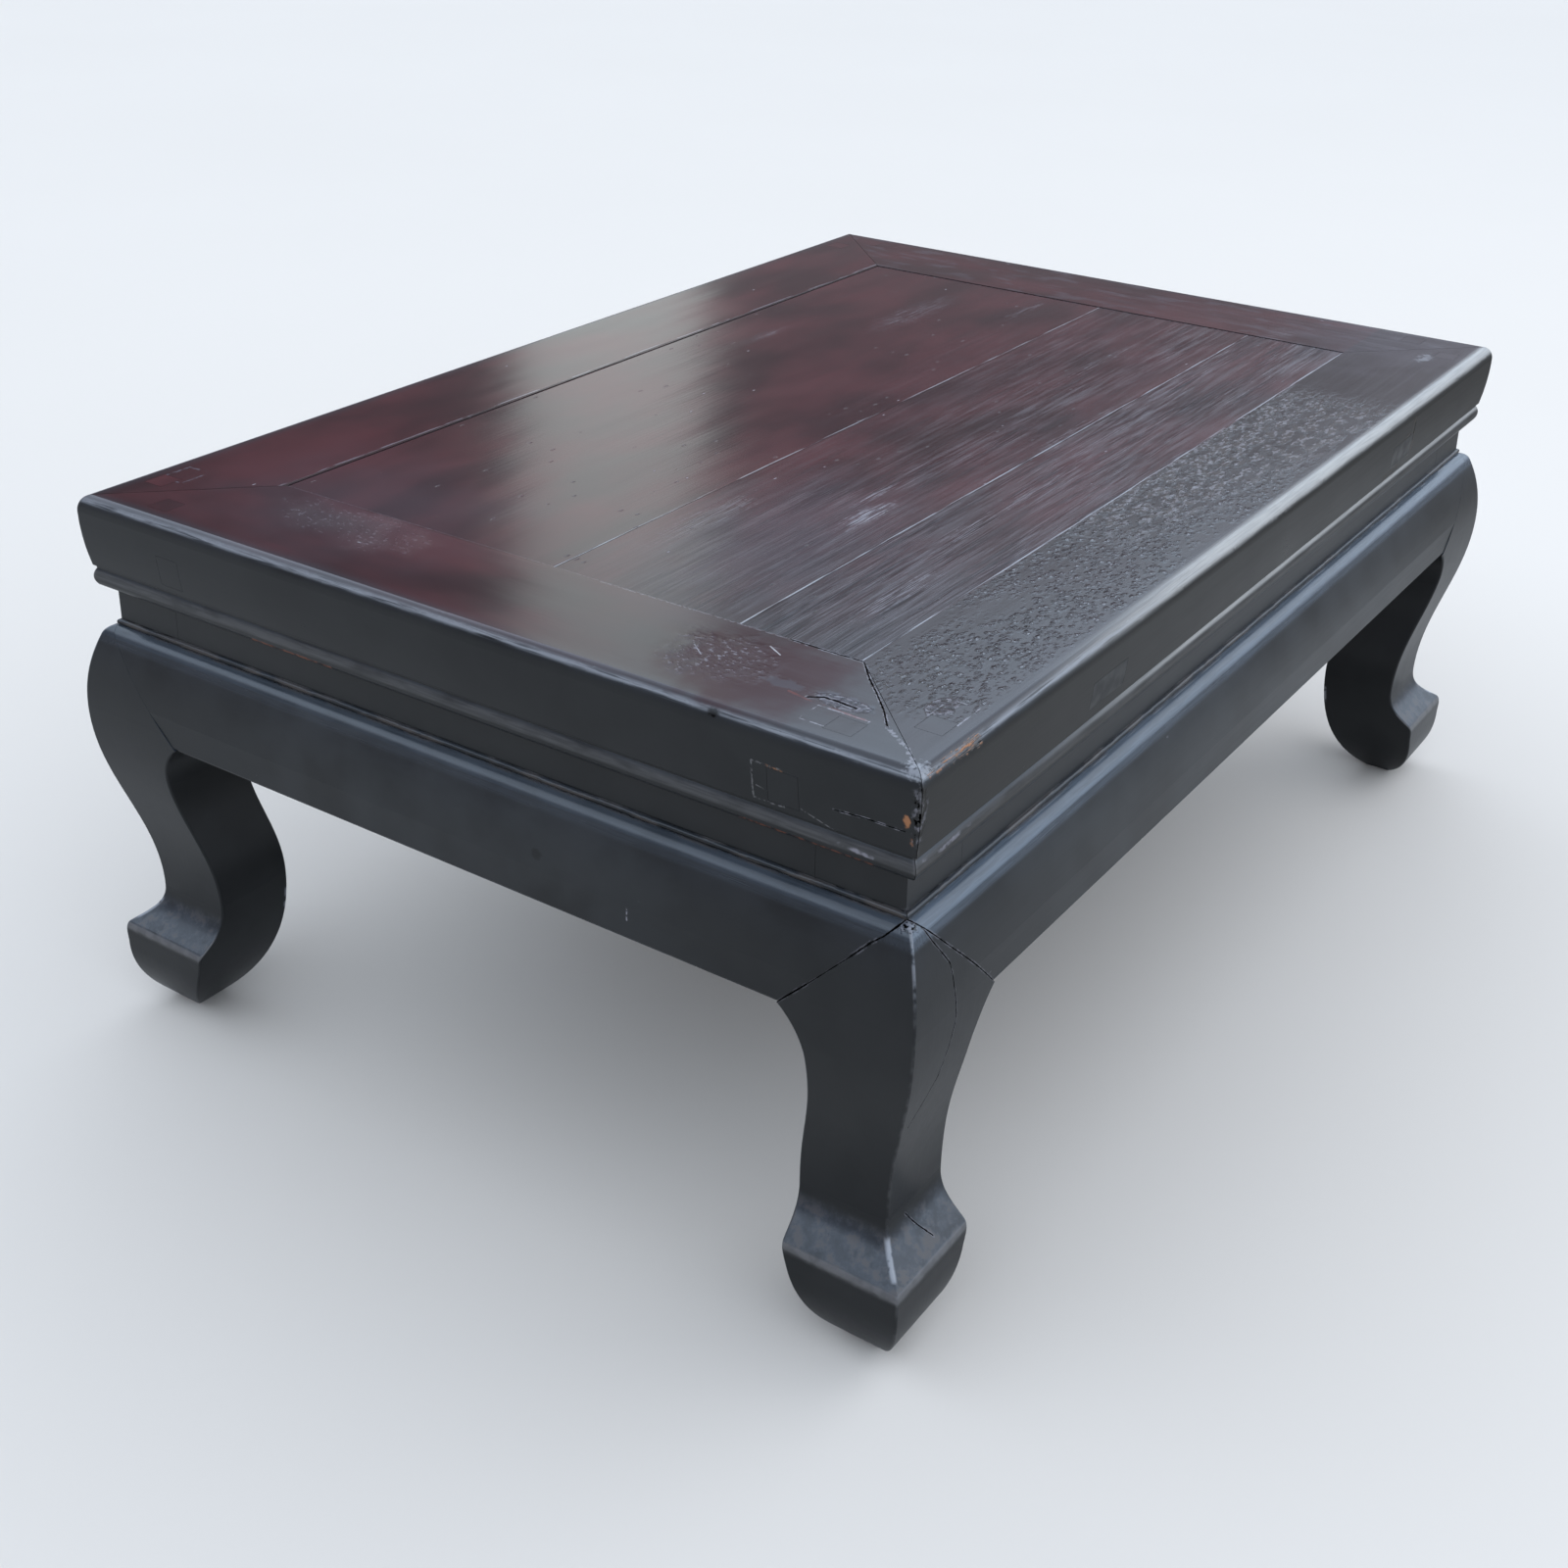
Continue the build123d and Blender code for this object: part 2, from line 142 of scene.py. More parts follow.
class Tree:
    """The nodes of a material or of the world."""

    def __init__(self, owner):
        owner.use_nodes = True
        self.tree = owner.node_tree
        self.tree.nodes.clear()

    def node(self, kind, settings=None, sockets=None, out=0):
        """Adds a node and hands back one of its outputs."""
        made = self.tree.nodes.new("ShaderNode" + kind)
        for key, value in (settings or {}).items():
            setattr(made, key, value)
        for key, value in (sockets or {}).items():
            if isinstance(value, Wire):
                self.tree.links.new(value.socket, made.inputs[key])
            else:
                made.inputs[key].default_value = value
        return Wire(self, made.outputs[out]) if made.outputs else None

    def part(self, vector, axis):
        return self.node("SeparateXYZ", None, {0: vector}, out="XYZ".index(axis))

    def ramp(self, value, low, high):
        """0 at low, 1 at high, smooth between; low may be the larger."""
        return self.node("MapRange", {"interpolation_type": "SMOOTHSTEP"},
                         {"Value": value, "From Min": low, "From Max": high})

    def band(self, value, low, high, soft):
        """1 while the value is between low and high."""
        return self.ramp(value, low - soft, low) * self.ramp(value, high + soft, high)

    def blend(self, mask, under, over):
        """One colour laid over another where the mask is 1."""
        return self.node("Mix", {"data_type": "RGBA"},
                         {MIX_FACTOR: mask, MIX_UNDER: under, MIX_OVER: over}, out=MIX_RESULT)


print("a tree can:", [name for name in vars(Tree) if not name.startswith("_")])

# %% [markdown]
# ## Masks by place
#
# Old lacquer wears by place, so a finish needs masks that sit somewhere on the table. They could be
# painted on a texture, which needs a flat map of every piece. Here they are worked out from the
# object's own coordinates, in metres: 1 inside the mark, 0 outside, with noise on the rim so that no
# scar has a drawn edge. Slope, how far a surface faces up, tells a top from a side.


# %% Noises and masks of a finish
class Finish(Tree):
    """A material under a plain name, with masks placed in metres on the table."""

    def __init__(self, name):
        self.material = bpy.data.materials.new(name)
        super().__init__(self.material)
        self.place = self.node("TexCoord", out="Object")
        self.slope = self.part(self.node("NewGeometry", out="Normal"), "Z")
        self.x, self.y, self.z = (self.part(self.place, axis) for axis in "XYZ")

    def squeezed(self, size, along, shift):
        """The place in lumps of size metres, drawn out by axis and moved to a fresh stretch of noise."""
        return self.place * tuple(1 / (size * a) for a in along) + (shift, shift * 1.7, shift * 0.6)

    def noise(self, size, along=(1, 1, 1), detail=2.0, roughness=0.5, shift=0.0):
        """Cloudy noise whose lumps measure size metres; along stretches them by axis."""
        return self.node("TexNoise", None, {"Vector": self.squeezed(size, along, shift), "Scale": 1.0,
                                            "Detail": detail, "Roughness": roughness})

    def cells(self, spacing, along=(1, 1, 1), shift=0.0, out="Distance"):
        """Voronoi cells, one in every spacing metres: the distance from their middles, or a colour each."""
        where = self.squeezed(spacing, along, shift)
        return self.node("TexVoronoi", None, {"Vector": where, "Scale": 1.0}, out=out)

    def flecks(self, spacing, reach, share, along=(1, 1, 1), shift=0.0):
        """Small dots in a share of the cells."""
        dot = self.ramp(self.cells(spacing, along, shift), reach, reach * 0.4)
        chosen = self.part(self.cells(spacing, along, shift, out="Color"), "X")
        return dot * self.ramp(chosen, 1 - share, 1.02 - share)

    def spot(self, centre, reach, ragged=0.25, size=0.004, edge=0.6):
        """1 inside an oval round centre, falling to 0 at its reach, with a ragged rim."""
        offset = (self.place - tuple(centre)) / tuple(reach)
        radius = self.node("VectorMath", {"operation": "LENGTH"}, {0: offset}, out="Value")
        return self.ramp(radius + (self.noise(size, shift=31) - 0.5) * ragged * 2, 1.0, edge)

    def line(self, offset, width):
        """1 within width of the place where offset is zero."""
        return self.ramp(abs(offset), width, width * 0.35)


print("a finish adds:", [name for name in vars(Finish) if not name.startswith("_")])

# %% [markdown]
# ## Cracks and scratches
#
# A crack runs from point to point. On each straight stretch the nearest point is found with a dot
# product, and the least of the distances is kept. Noise added to that distance makes the edges ragged.
# A crack that goes through a face may ignore the axis across it, so it needn't hit the surface's depth
# exactly.


# %% Distance from a chain of points
RAGGED_SIZE = 2.2 * MM
CORE = 0.4


def away(finish, points, ragged, through=""):
    """Distance from a chain of points, uneven by up to ragged metres, the same all through an axis."""
    keep = Vector([0 if axis == through else 1 for axis in "XYZ"])
    place = finish.place * tuple(keep)
    points = [Vector(point) * keep for point in points]
    least = None
    for start, end in zip(points, points[1:]):
        way = end - start
        share = finish.node("VectorMath", {"operation": "DOT_PRODUCT"},
                            {0: place - tuple(start), 1: tuple(way / way.length_squared)}, out="Value")
        share = finish.node("MapRange", None, {"Value": share})
        nearest = finish.node("VectorMath", {"operation": "MULTIPLY_ADD"},
                              {0: share, 1: tuple(way), 2: tuple(start)})
        distance = finish.node("VectorMath", {"operation": "DISTANCE"}, {0: place, 1: nearest}, out="Value")
        least = distance if least is None else least.lesser(distance)
    return least + (finish.noise(RAGGED_SIZE, detail=2, shift=13) - 0.5) * (2 * ragged)


def stroke(finish, points, width, ragged=0.5, through=""):
    """1 along a chain of points, as a scratch or a worn line runs."""
    return finish.ramp(away(finish, points, width * ragged, through), width, width * CORE)


print("a stroke is full over", CORE, "of its width and fades over the rest")

# %% [markdown]
# ## Where a point lies on the table
#
# Wear follows the arris, the ridge of each leg, the lip of each foot and the joints. The top is a
# rectangle and the legs stand under its corners, so two numbers say where a point is: how far in from
# the end, and how far in from the long edge. Single scars are placed in millimetres from the near left
# corner of the top, as one would with a rule.


# %% Distances from the edges of the top
def edge_distances(finish):
    """How far a point lies in from the nearer end and from the nearer long edge of the top."""
    from_end = half_length - abs(finish.x)
    from_side = half_width - abs(finish.y)
    return from_end, from_side


def corner_point(along_end, along_side, height=None):
    """A point measured in millimetres from the near left corner of the top."""
    level = top_height if height is None else height * MM
    return (along_end * MM - half_length, along_side * MM - half_width, level)


def route(*places):
    """A chain of points, each in millimetres from the near left corner of the top."""
    return [corner_point(*place) for place in places]


print("near left corner at", [round(v, 3) for v in corner_point(0, 0)])

# %% [markdown]
# ## Lacquer
#
# All lacquered pieces share one recipe, so a tenon that comes up through the frame matches the rail
# round it. The recipe has near-black lacquer on everything, maroon where the top faces up, and bare
# wood where both are gone. The grain runs along each piece: noise is drawn out along it. Each rail and
# board takes its own shift in the noise, so that neighbours don't match at a joint, as on boards cut
# apart.

# %% Lacquer tones and grain
BLACK = (0.0050, 0.0060, 0.0070, 1)
BLACK_THIN = (0.0095, 0.0105, 0.0115, 1)
TOP_BLACK = (0.0105, 0.0105, 0.0135, 1)
GAP = (0.0012, 0.0012, 0.0012, 1)
MAROON = (0.071, 0.0150, 0.0195, 1)
MAROON_DEEP = (0.030, 0.0095, 0.0125, 1)
DUST_AND_SKY_SHEEN = (0.066, 0.076, 0.094, 1)
BLUE_DUST_AND_HIGHLIGHT = (0.130, 0.160, 0.200, 1)
HAZE = (0.100, 0.090, 0.108, 1)
SCUFFED = (0.245, 0.235, 0.265, 1)
PALE_WEAR_DUST_AND_HIGHLIGHT = (0.33, 0.34, 0.37, 1)
DUST = (0.38, 0.37, 0.38, 1)
CREAM_WEAR_AND_HIGHLIGHT = (0.46, 0.44, 0.41, 1)
RUBBED_EDGE = (0.120, 0.118, 0.120, 1)
WORN_BROWN = (0.085, 0.070, 0.062, 1)
BARE_WOOD = (0.36, 0.150, 0.062, 1)
GRAIN_STRETCH = 26


def stretch(along, much=GRAIN_STRETCH):
    """How far the noise is drawn out by axis: much along the grain, not at all across it."""
    return tuple(much if axis == along else 1 for axis in "XYZ")


print("grain along X is stretched by", stretch("X"))

# %% [markdown]
# ### A coat
#
# A finish is built up in layers, as it was on the bench. A coat holds what a layer changes: colour,
# roughness and height. Each scar is then one call that touches all three, so that a crack is dark,
# sunk and pale along its rims at the same place.


# %% A coat and what can happen to it
class Coat:
    """Colour, roughness, height in millimetres and lost gloss of a finish while it is built up."""

    def __init__(self, finish, colour, roughness, height):
        self.finish = finish
        self.colour = colour
        self.roughness = roughness
        self.height = height
        self.matt = 0.0

    def tint(self, mask, colour):
        self.colour = self.finish.blend(mask, self.colour, colour)

    def lift(self, relief):
        self.height = self.height + relief

    def covered(self, mask, over):
        """Lays another coat over this one where the mask is 1."""
        self.tint(mask, over.colour)
        self.roughness = self.roughness + mask * (over.roughness - self.roughness)
        self.lift(mask * (over.height - self.height))
        self.matt = mask * over.matt

    def crack(self, points, width, depth=0.5, share=0.7, pale=SCUFFED, through=""):
        """An open crack, its width in millimetres, with pale rims that come and go."""
        finish = self.finish
        distance = away(finish, points, width * 0.8 * MM, through)
        dark = finish.ramp(distance, width * MM, width * CORE * MM)
        broken = finish.ramp(finish.noise(4 * MM, detail=3, shift=19), 0.42, 0.6)
        rim = finish.ramp(distance, width * 2.6 * MM, width * 1.3 * MM) * broken
        self.tint(rim * share, pale)
        self.tint(dark, GAP)
        self.lift(rim * 0.12 - dark * depth)

    def line(self, points, width, colour, share=1.0, ragged=0.6, size=3.0, through=""):
        """A worn line, its width in millimetres, broken into stretches about size millimetres long."""
        finish = self.finish
        broken = finish.ramp(finish.noise(size * MM, detail=3, shift=43), 0.40, 0.58)
        self.tint(stroke(finish, points, width * MM, ragged, through) * broken * share, colour)

    def blot(self, place, reach, colour, share=1.0, ragged=0.4, size=4.0, edge=0.5):
        """A spot of another colour, its place and its reach in millimetres."""
        reach = tuple(r * MM for r in reach)
        mask = self.finish.spot(corner_point(*place), reach, ragged, size * MM, edge)
        self.tint(mask * share, colour)


print("what a coat can take:", [name for name in vars(Coat) if not name.startswith("_")])

# %% [markdown]
# ### When the coat dries
#
# Colour, roughness and relief end in one Principled shader. Two things on old lacquer have no gloss.
# Powdery, worn lacquer scatters light, so a plain diffuse shader takes a share of it. An open gap
# swallows light, so the blackest places turn into a diffuse near-black. The gaps are found again in
# the colour. A mask kept for every crack would say the same, but each one makes the shader deeper, and
# past a certain depth Cycles gives up and draws the piece black.


# %% From coat to shader
GAP_LEVEL = GAP[0] * 1.6
LACQUER_LEVEL = BLACK[0] * 0.85


def dry(coat, specular=0.42):
    """Joins a coat into the shader of its finish."""
    finish = coat.finish
    bump = finish.node("Bump", None, {"Strength": 1.0, "Distance": MM, "Height": coat.height})
    shader = finish.node("BsdfPrincipled", None, {
        "Base Color": coat.colour, "Roughness": coat.roughness, "Normal": bump,
        "Specular IOR Level": specular})
    if isinstance(coat.matt, Wire):
        worn = finish.node("BsdfDiffuse", None, {"Color": coat.colour, "Normal": bump})
        shader = finish.node("MixShader", None, {0: coat.matt, 1: shader, 2: worn})
    shadow = finish.node("BsdfDiffuse", None, {"Color": GAP})
    open_gap = finish.ramp(finish.part(coat.colour, "X"), LACQUER_LEVEL, GAP_LEVEL)
    shader = finish.node("MixShader", None, {0: open_gap, 1: shader, 2: shadow})
    finish.node("OutputMaterial", None, {"Surface": shader})
    return finish.material


print("a gap's red is below", round(GAP_LEVEL, 5), "and lacquer's above", round(LACQUER_LEVEL, 5))

# %% [markdown]
# ### The black coat
#
# On legs, aprons, waist and the sides of the frame the lacquer is nearly black. What the eye reads is
# not its colour but how it mirrors: soft, a little uneven. Wherever it faces up it carries a bluish
# film that is partly dust and partly a painted sheen of the sky. It is rubbed thin along every edge
# that hands and cloths touch, and the arris also gets a painted pale highlight line. The rolled
# shoulder of the aprons has the thickest film, partly dust and partly a painted highlight, and it ends
# in a crisp line under the ledge.


# %% Edges that hands and cloths touch, and their painted highlights
def rub_and_highlight_edges(finish, coat, along, shift, mottle):
    """Rolled shoulder, arris, bead, ledge and the upright corners, each by its own place; shoulder and
    arris get painted highlights.
    """
    ramp, band = finish.ramp, finish.band
    from_end, from_side = edge_distances(finish)
    setback = from_end.lesser(from_side)
    streak = finish.noise(1.1 * MM, stretch(along, 22), detail=2, shift=shift + 15)
    roll = band(finish.z, shoulder - 7 * MM, shoulder, 3 * MM) * ramp(finish.slope, 0.10, 0.55)
    on_long_side = ramp(from_end - from_side, -2 * MM, 2 * MM)
    near_top = ramp(finish.z, top_height - 8 * MM, top_height - 4 * MM)
    arris = finish.line(setback - 2.6 * MM, 1.7 * MM) * near_top
    bead = band(finish.z, bead_top - 5 * MM, bead_top - 1.5 * MM, 1.5 * MM)
    bead = bead * (0.5 + 0.5 * ramp(mottle, 0.3, 0.6))
    ledge = band(finish.z, ledge_low.z, ledge_high.z, 0.3 * MM) * ramp(mottle, 0.42, 0.60)
    upright = finish.line(from_end - from_side, 1.8 * MM) * band(finish.z, frame_foot, top_height, MM)
    coat.roughness = coat.roughness - roll * 0.10
    # Painted highlight, partly: the shoulder's roll is tinted bluish pale, stronger on the long side, as
    # dust and the sky it would mirror.
    coat.tint(roll * (0.22 + 0.58 * on_long_side) * (0.7 + 0.3 * ramp(streak, 0.35, 0.65)), BLUE_DUST_AND_HIGHLIGHT)
    # Painted highlight: a pale line along the arris, where the rounded edge would mirror the sky.
    coat.tint(arris * ramp(streak, 0.30, 0.55) * 0.75, PALE_WEAR_DUST_AND_HIGHLIGHT)
    coat.tint(bead * (0.35 + 0.2 * ramp(streak, 0.35, 0.60)), RUBBED_EDGE)
    coat.tint(ledge * 0.55, WORN_BROWN)
    coat.tint(upright * ramp(mottle, 0.44, 0.58) * 0.5, RUBBED_EDGE)
    coat.lift(ledge * 0.25)


print("the shoulder's roll is filmed from", round(shoulder - 7 * MM, 4), "to", round(shoulder, 4))


# %% Black coat
def black_coat(finish, along, shift):
    """Black lacquer, with dust and a painted sky sheen where it faces up, and wear and painted highlights
    along its edges.
    """
    ramp, noise = finish.ramp, finish.noise
    cloud = noise(45 * MM, detail=3, shift=shift + 2)
    grain = noise(1.3 * MM, stretch(along), detail=2, shift=shift)
    mottle = noise(7 * MM, stretch(along, 3), detail=3, shift=shift + 9)
    # Painted sheen, partly: surfaces that face up get a bluish tone, which is dust and the sky they would
    # mirror.
    film = ramp(finish.slope, 0.12, 0.80) * (0.45 + 0.55 * ramp(cloud + mottle, 0.75, 1.15))
    colour = finish.blend(ramp(cloud, 0.35, 0.65), BLACK, BLACK_THIN)
    roughness = 0.32 + (cloud - 0.5) * 0.12 + (grain - 0.5) * 0.08
    waves = noise(26 * MM, stretch(along, 4), detail=1, shift=shift + 3)
    coat = Coat(finish, colour, roughness, grain * 0.014 + waves * 0.16)
    coat.tint(film * 0.5, DUST_AND_SKY_SHEEN)
    rub_and_highlight_edges(finish, coat, along, shift, mottle)
    return coat


print("black coat:", black_coat.__doc__)

# %% [markdown]
# ### The maroon top
#
# The top once was red. It has darkened to maroon, and to black along the front rail and round the
# near left corner. Wiping along the grain has left fine pale streaks and dark ones between them,
# thickest towards the front. So the recipe is: a clouded maroon, a mask for where it went black, and
# streaks as long and thin as the noise can be stretched, gated by where people wiped.

# %% Scuffs and haze, in millimetres from the near left corner
DEEP = 0.2
scuffs = (  # centre, reach, strength
    ((232, 174), (34, 9), 1.0), ((262, 187), (28, 4), 0.9), ((590, 359), (70, 16), 0.35),
    ((477, 411), (30, 6), 0.4), ((695, 130), (34, 14), 0.3), ((560, 200), (80, 5), 0.35),
    ((430, 150), (90, 5), 0.3), ((320, 120), (80, 5), 0.35), ((640, 300), (40, 6), 0.35),
    ((150, 105), (60, 12), 0.5), ((250, 120), (50, 9), 0.35), ((180, 240), (60, 14), 0.3),
)
hazes = (  # centre, reach, raggedness, size of its lumps in metres, strength
    ((80, 395), (110, 130), 0.3, 0.03, 0.5), ((730, 60), (120, 100), 0.4, 0.02, 1.0),
    ((180, 190), (150, 85), 0.3, 0.03, 0.8),
)


def hazed(finish):
    """1 where the top has gone cloudy."""
    hazy = 0.0
    for place, (reach_x, reach_y), ragged, size, strength in hazes:
        reach = (reach_x * MM, reach_y * MM, DEEP)
        mark = finish.spot(corner_point(*place), reach, ragged, size, edge=0.1)
        hazy = (mark * strength).greater(hazy)
    return hazy


def scuffed(finish, least):
    """How strongly the top is rubbed: least everywhere, more where something was dragged over it."""
    rubbed = least
    for place, (reach_x, reach_y), strength in scuffs:
        mark = finish.spot(corner_point(*place), (reach_x * MM, reach_y * MM, 1), ragged=0.5, edge=0.2)
        rubbed = rubbed.greater(mark * strength)
    return rubbed


print(len(scuffs), "scuffs and", len(hazes), "hazy places, which reach", DEEP, "m, right through the top")


# %% Streaks of wiping
HAIR_STRETCH = 34


def wipe(finish, coat, along, shift, board):
    """Pale and dark streaks along the grain, as strong as board says."""
    ramp, noise = finish.ramp, finish.noise
    patchy = ramp(noise(30 * MM, stretch(along, 5), detail=2, shift=shift + 17), 0.25, 0.75)
    wiped = ramp(0.15 * finish.x - finish.y, -0.10, 0.13) * (0.35 + 0.65 * patchy)
    wide_streak = noise(3.4 * MM, stretch(along, 22), detail=3, roughness=0.6, shift=shift + 27)
    hair = noise(0.8 * MM, stretch(along, HAIR_STRETCH), detail=3, roughness=0.6, shift=shift + 19)
    fine = ramp(hair, 0.45, 0.63)
    rubbed = scuffed(finish, wiped * (0.24 * board))
    pale_streak = ramp(wide_streak, 0.50, 0.66) * wiped
    dark_streak = ramp(wide_streak, 0.46, 0.34) * wiped
    coat.tint(wiped * (0.35 * board), TOP_BLACK)
    coat.tint(pale_streak * (0.28 * board), HAZE)
    coat.tint(dark_streak * (0.75 * board), TOP_BLACK)
    coat.tint(rubbed * fine, SCUFFED)
    dulled = pale_streak * 0.12 + dark_streak * 0.05 + rubbed * fine * 0.2
    coat.roughness = coat.roughness + dulled * board
    coat.lift((wide_streak * 0.10 * wiped + fine * rubbed * 0.03) * board)
    coat.matt = wiped * (ramp(wide_streak, 0.56, 0.40) * 0.36 + 0.08) * board


print("hair streaks are stretched by", stretch("X", HAIR_STRETCH))


# %% Maroon coat
def maroon_coat(finish, along, shift, board):
    """The top's lacquer; board is how open and wiped its grain is."""
    ramp, blend, noise = finish.ramp, finish.blend, finish.noise
    from_end, from_side = edge_distances(finish)
    front_rail = ramp(finish.y, MM - inner_y, -MM - inner_y)
    reach = (310 * MM, 330 * MM, DEEP)
    near_corner = finish.spot(corner_point(0, 0), reach, ragged=0.12, size=0.03, edge=0.35)
    edge = ramp(from_end.lesser(from_side), 14 * MM, 3 * MM)
    blackened = (front_rail * 0.9).greater(near_corner * 0.82).greater(edge * 0.6)
    cloud = noise(48 * MM, stretch(along, 2), detail=3, shift=shift + 2)
    streak = noise(1.7 * MM, stretch(along, 38), detail=3, shift=shift + 11)
    waves = noise(26 * MM, stretch(along, 4), detail=1, shift=shift + 3)
    colour = blend(ramp(cloud, 0.3, 0.7), MAROON_DEEP, MAROON)
    colour = blend(ramp(streak, 0.48, 0.66) * (0.2 + 0.5 * board), colour, MAROON_DEEP)
    colour = blend(blackened, colour, TOP_BLACK)
    roughness = 0.145 + (cloud - 0.5) * 0.09 + board * 0.03
    coat = Coat(finish, colour, roughness, streak * (0.012 + 0.03 * board) + waves * 0.20)
    # Painted reflection: a bluish sheen along the top's rounded edges, where they would mirror the sky.
    coat.tint(edge * 0.25, DUST_AND_SKY_SHEEN)
    coat.tint(hazed(finish) * 0.45, HAZE)
    if board:
        wipe(finish, coat, along, shift, board)
    return coat


print("the top turns black in front of y =", round(-inner_y, 3))

# %% [markdown]
# ### Both coats on one piece
#
# A mask by place puts the maroon coat on what faces up at the level of the top, and the black coat on
# the rest. Nicks and specks of dust lie over both. The scars of a single piece come last, from a
# function of its own.


# %% Lacquered piece
def lacquer(name, along, shift=0.0, board=0.0, marks=None):
    """A finished lacquer; marks may add the scars of one piece before the coat dries."""
    finish = Finish(name)
    at_top = finish.ramp(finish.z, top_height - 7 * MM, top_height - 2 * MM)
    top = finish.ramp(finish.slope, 0.45, 0.9) * at_top
    coat = black_coat(finish, along, shift)
    coat.covered(top, maroon_coat(finish, along, shift, board))
    specks = finish.flecks(12 * MM, 0.055, 0.30, along=stretch(along, 2.6), shift=shift + 41)
    coat.tint(specks * (top * 0.6 + 0.2), SCUFFED)
    coat.lift(specks * -0.1)
    if marks:
        marks(finish, coat, top)
    return dry(coat)


black_along = {axis: lacquer("lacquer_grain_" + axis.lower(), axis) for axis in "XY"}
print("lacquer for grain along", sorted(black_along))

# %% [markdown]
# ## Joints that show through
#
# The legs' tenons come up through the frame near its corners. Lacquer shrinks over end grain, so each
# tenon shows as a fine broken line. Where filler was pressed in beside it, a ragged crust stands up
# and has rubbed pale along its rim. A crust could be modelled, but it is thinner than a fingernail, so
# relief in the finish is enough: two spots of one shape, one smaller, give body and rim.

# %% Outlines of joints and crusts of filler
TOP = top_height / MM


def outline(low, high, level, axis="Z"):
    """The corners of a rectangle that lies square to an axis, at that level."""
    corners = ((low[0], low[1]), (high[0], low[1]), (high[0], high[1]), (low[0], high[1]), (low[0], low[1]))
    if axis == "X":
        return route(*((level, a, b) for a, b in corners))
    return route(*((a, b, level) for a, b in corners))


def crust(finish, coat, place, reach):
    """A ragged crust of old filler, raised and lumpy, with a pale rim."""
    centre = corner_point(*place)
    size = (reach[0] * MM, reach[1] * MM, 1)
    body = finish.spot(centre, size, ragged=0.35, size=0.006, edge=0.85)
    inner = finish.spot(centre, size, ragged=0.35, size=0.006, edge=0.50)
    lump = finish.noise(2.6 * MM, detail=3, shift=51)
    coat.tint(body * finish.ramp(lump, 0.35, 0.7) * 0.5, HAZE)
    coat.tint(body * finish.ramp(lump, 0.42, 0.36) * 0.5, TOP_BLACK)
    coat.tint((body - inner) * finish.ramp(lump, 0.44, 0.56) * 0.8, SCUFFED)
    coat.lift(body * (lump * 1.1 - 0.3))


print("outlines on the top lie at", round(TOP, 1), "mm")

# %% [markdown]
# ## The near left corner
#
# The corner of the frame has been knocked most. Its lacquer has crumbled down the upright edge, the
# mitre stands open over most of its length, and its very tip is rubbed pale. Both rails that meet
# here get the same call, so the damage runs on across the joint.


# %% Wear of the frame's near left corner
def corner_wear(finish, coat):
    """Crumbled lacquer down the corner, the open mitre and its rubbed tip."""
    lump = finish.noise(2.6 * MM, (1, 1, 1.4), detail=4, shift=57)
    reach = (6 * MM, 6 * MM, 28 * MM)
    near = finish.spot(corner_point(0, 0, 300), reach, ragged=0.6, size=0.003, edge=0.35)
    coat.tint(near * finish.ramp(lump, 0.52, 0.62) * 0.6, SCUFFED)
    coat.tint(near * finish.ramp(lump, 0.47, 0.40), GAP)
    coat.lift(near * (lump * 1.3 - 0.65))
    coat.crack(route((77, 77, TOP), (64, 66, TOP), (55, 57, TOP), (42, 45, TOP), (29, 35, TOP)),
               0.48, depth=0.8)
    coat.line(route((29, 35, TOP), (17, 17, TOP), (6, 8, TOP)), 1.3, SCUFFED, 0.6, ragged=1.8, size=2.2)
    coat.blot((5, 5, 319), (8, 8, 3), PALE_WEAR_DUST_AND_HIGHLIGHT, 0.6, ragged=1.3, size=2.0, edge=0.2)


print("corner wear round", [round(v, 3) for v in corner_point(0, 0, 300)])

# %% [markdown]
# ## The front rail
#
# The front rail's lacquer has shrunk into pebbles, which break into flakes beside the panel. Voronoi
# cells are the natural choice for pebbles: the distance from each cell's middle makes a dome, and a
# narrow ring of it is painted pale as the crescent of light it would catch, a painted highlight. The
# arris has lost its colour where forearms rested, and its cream band is partly that wear and partly a
# painted highlight. A splinter shows bare wood beside the corner, and the batten's tenon has opened a
# gap on the face.


# %% Pebbles and flakes
PEBBLES_START = -350 * MM
PEBBLES_END = 225 * MM
FLAKES_FADE = 60 * MM


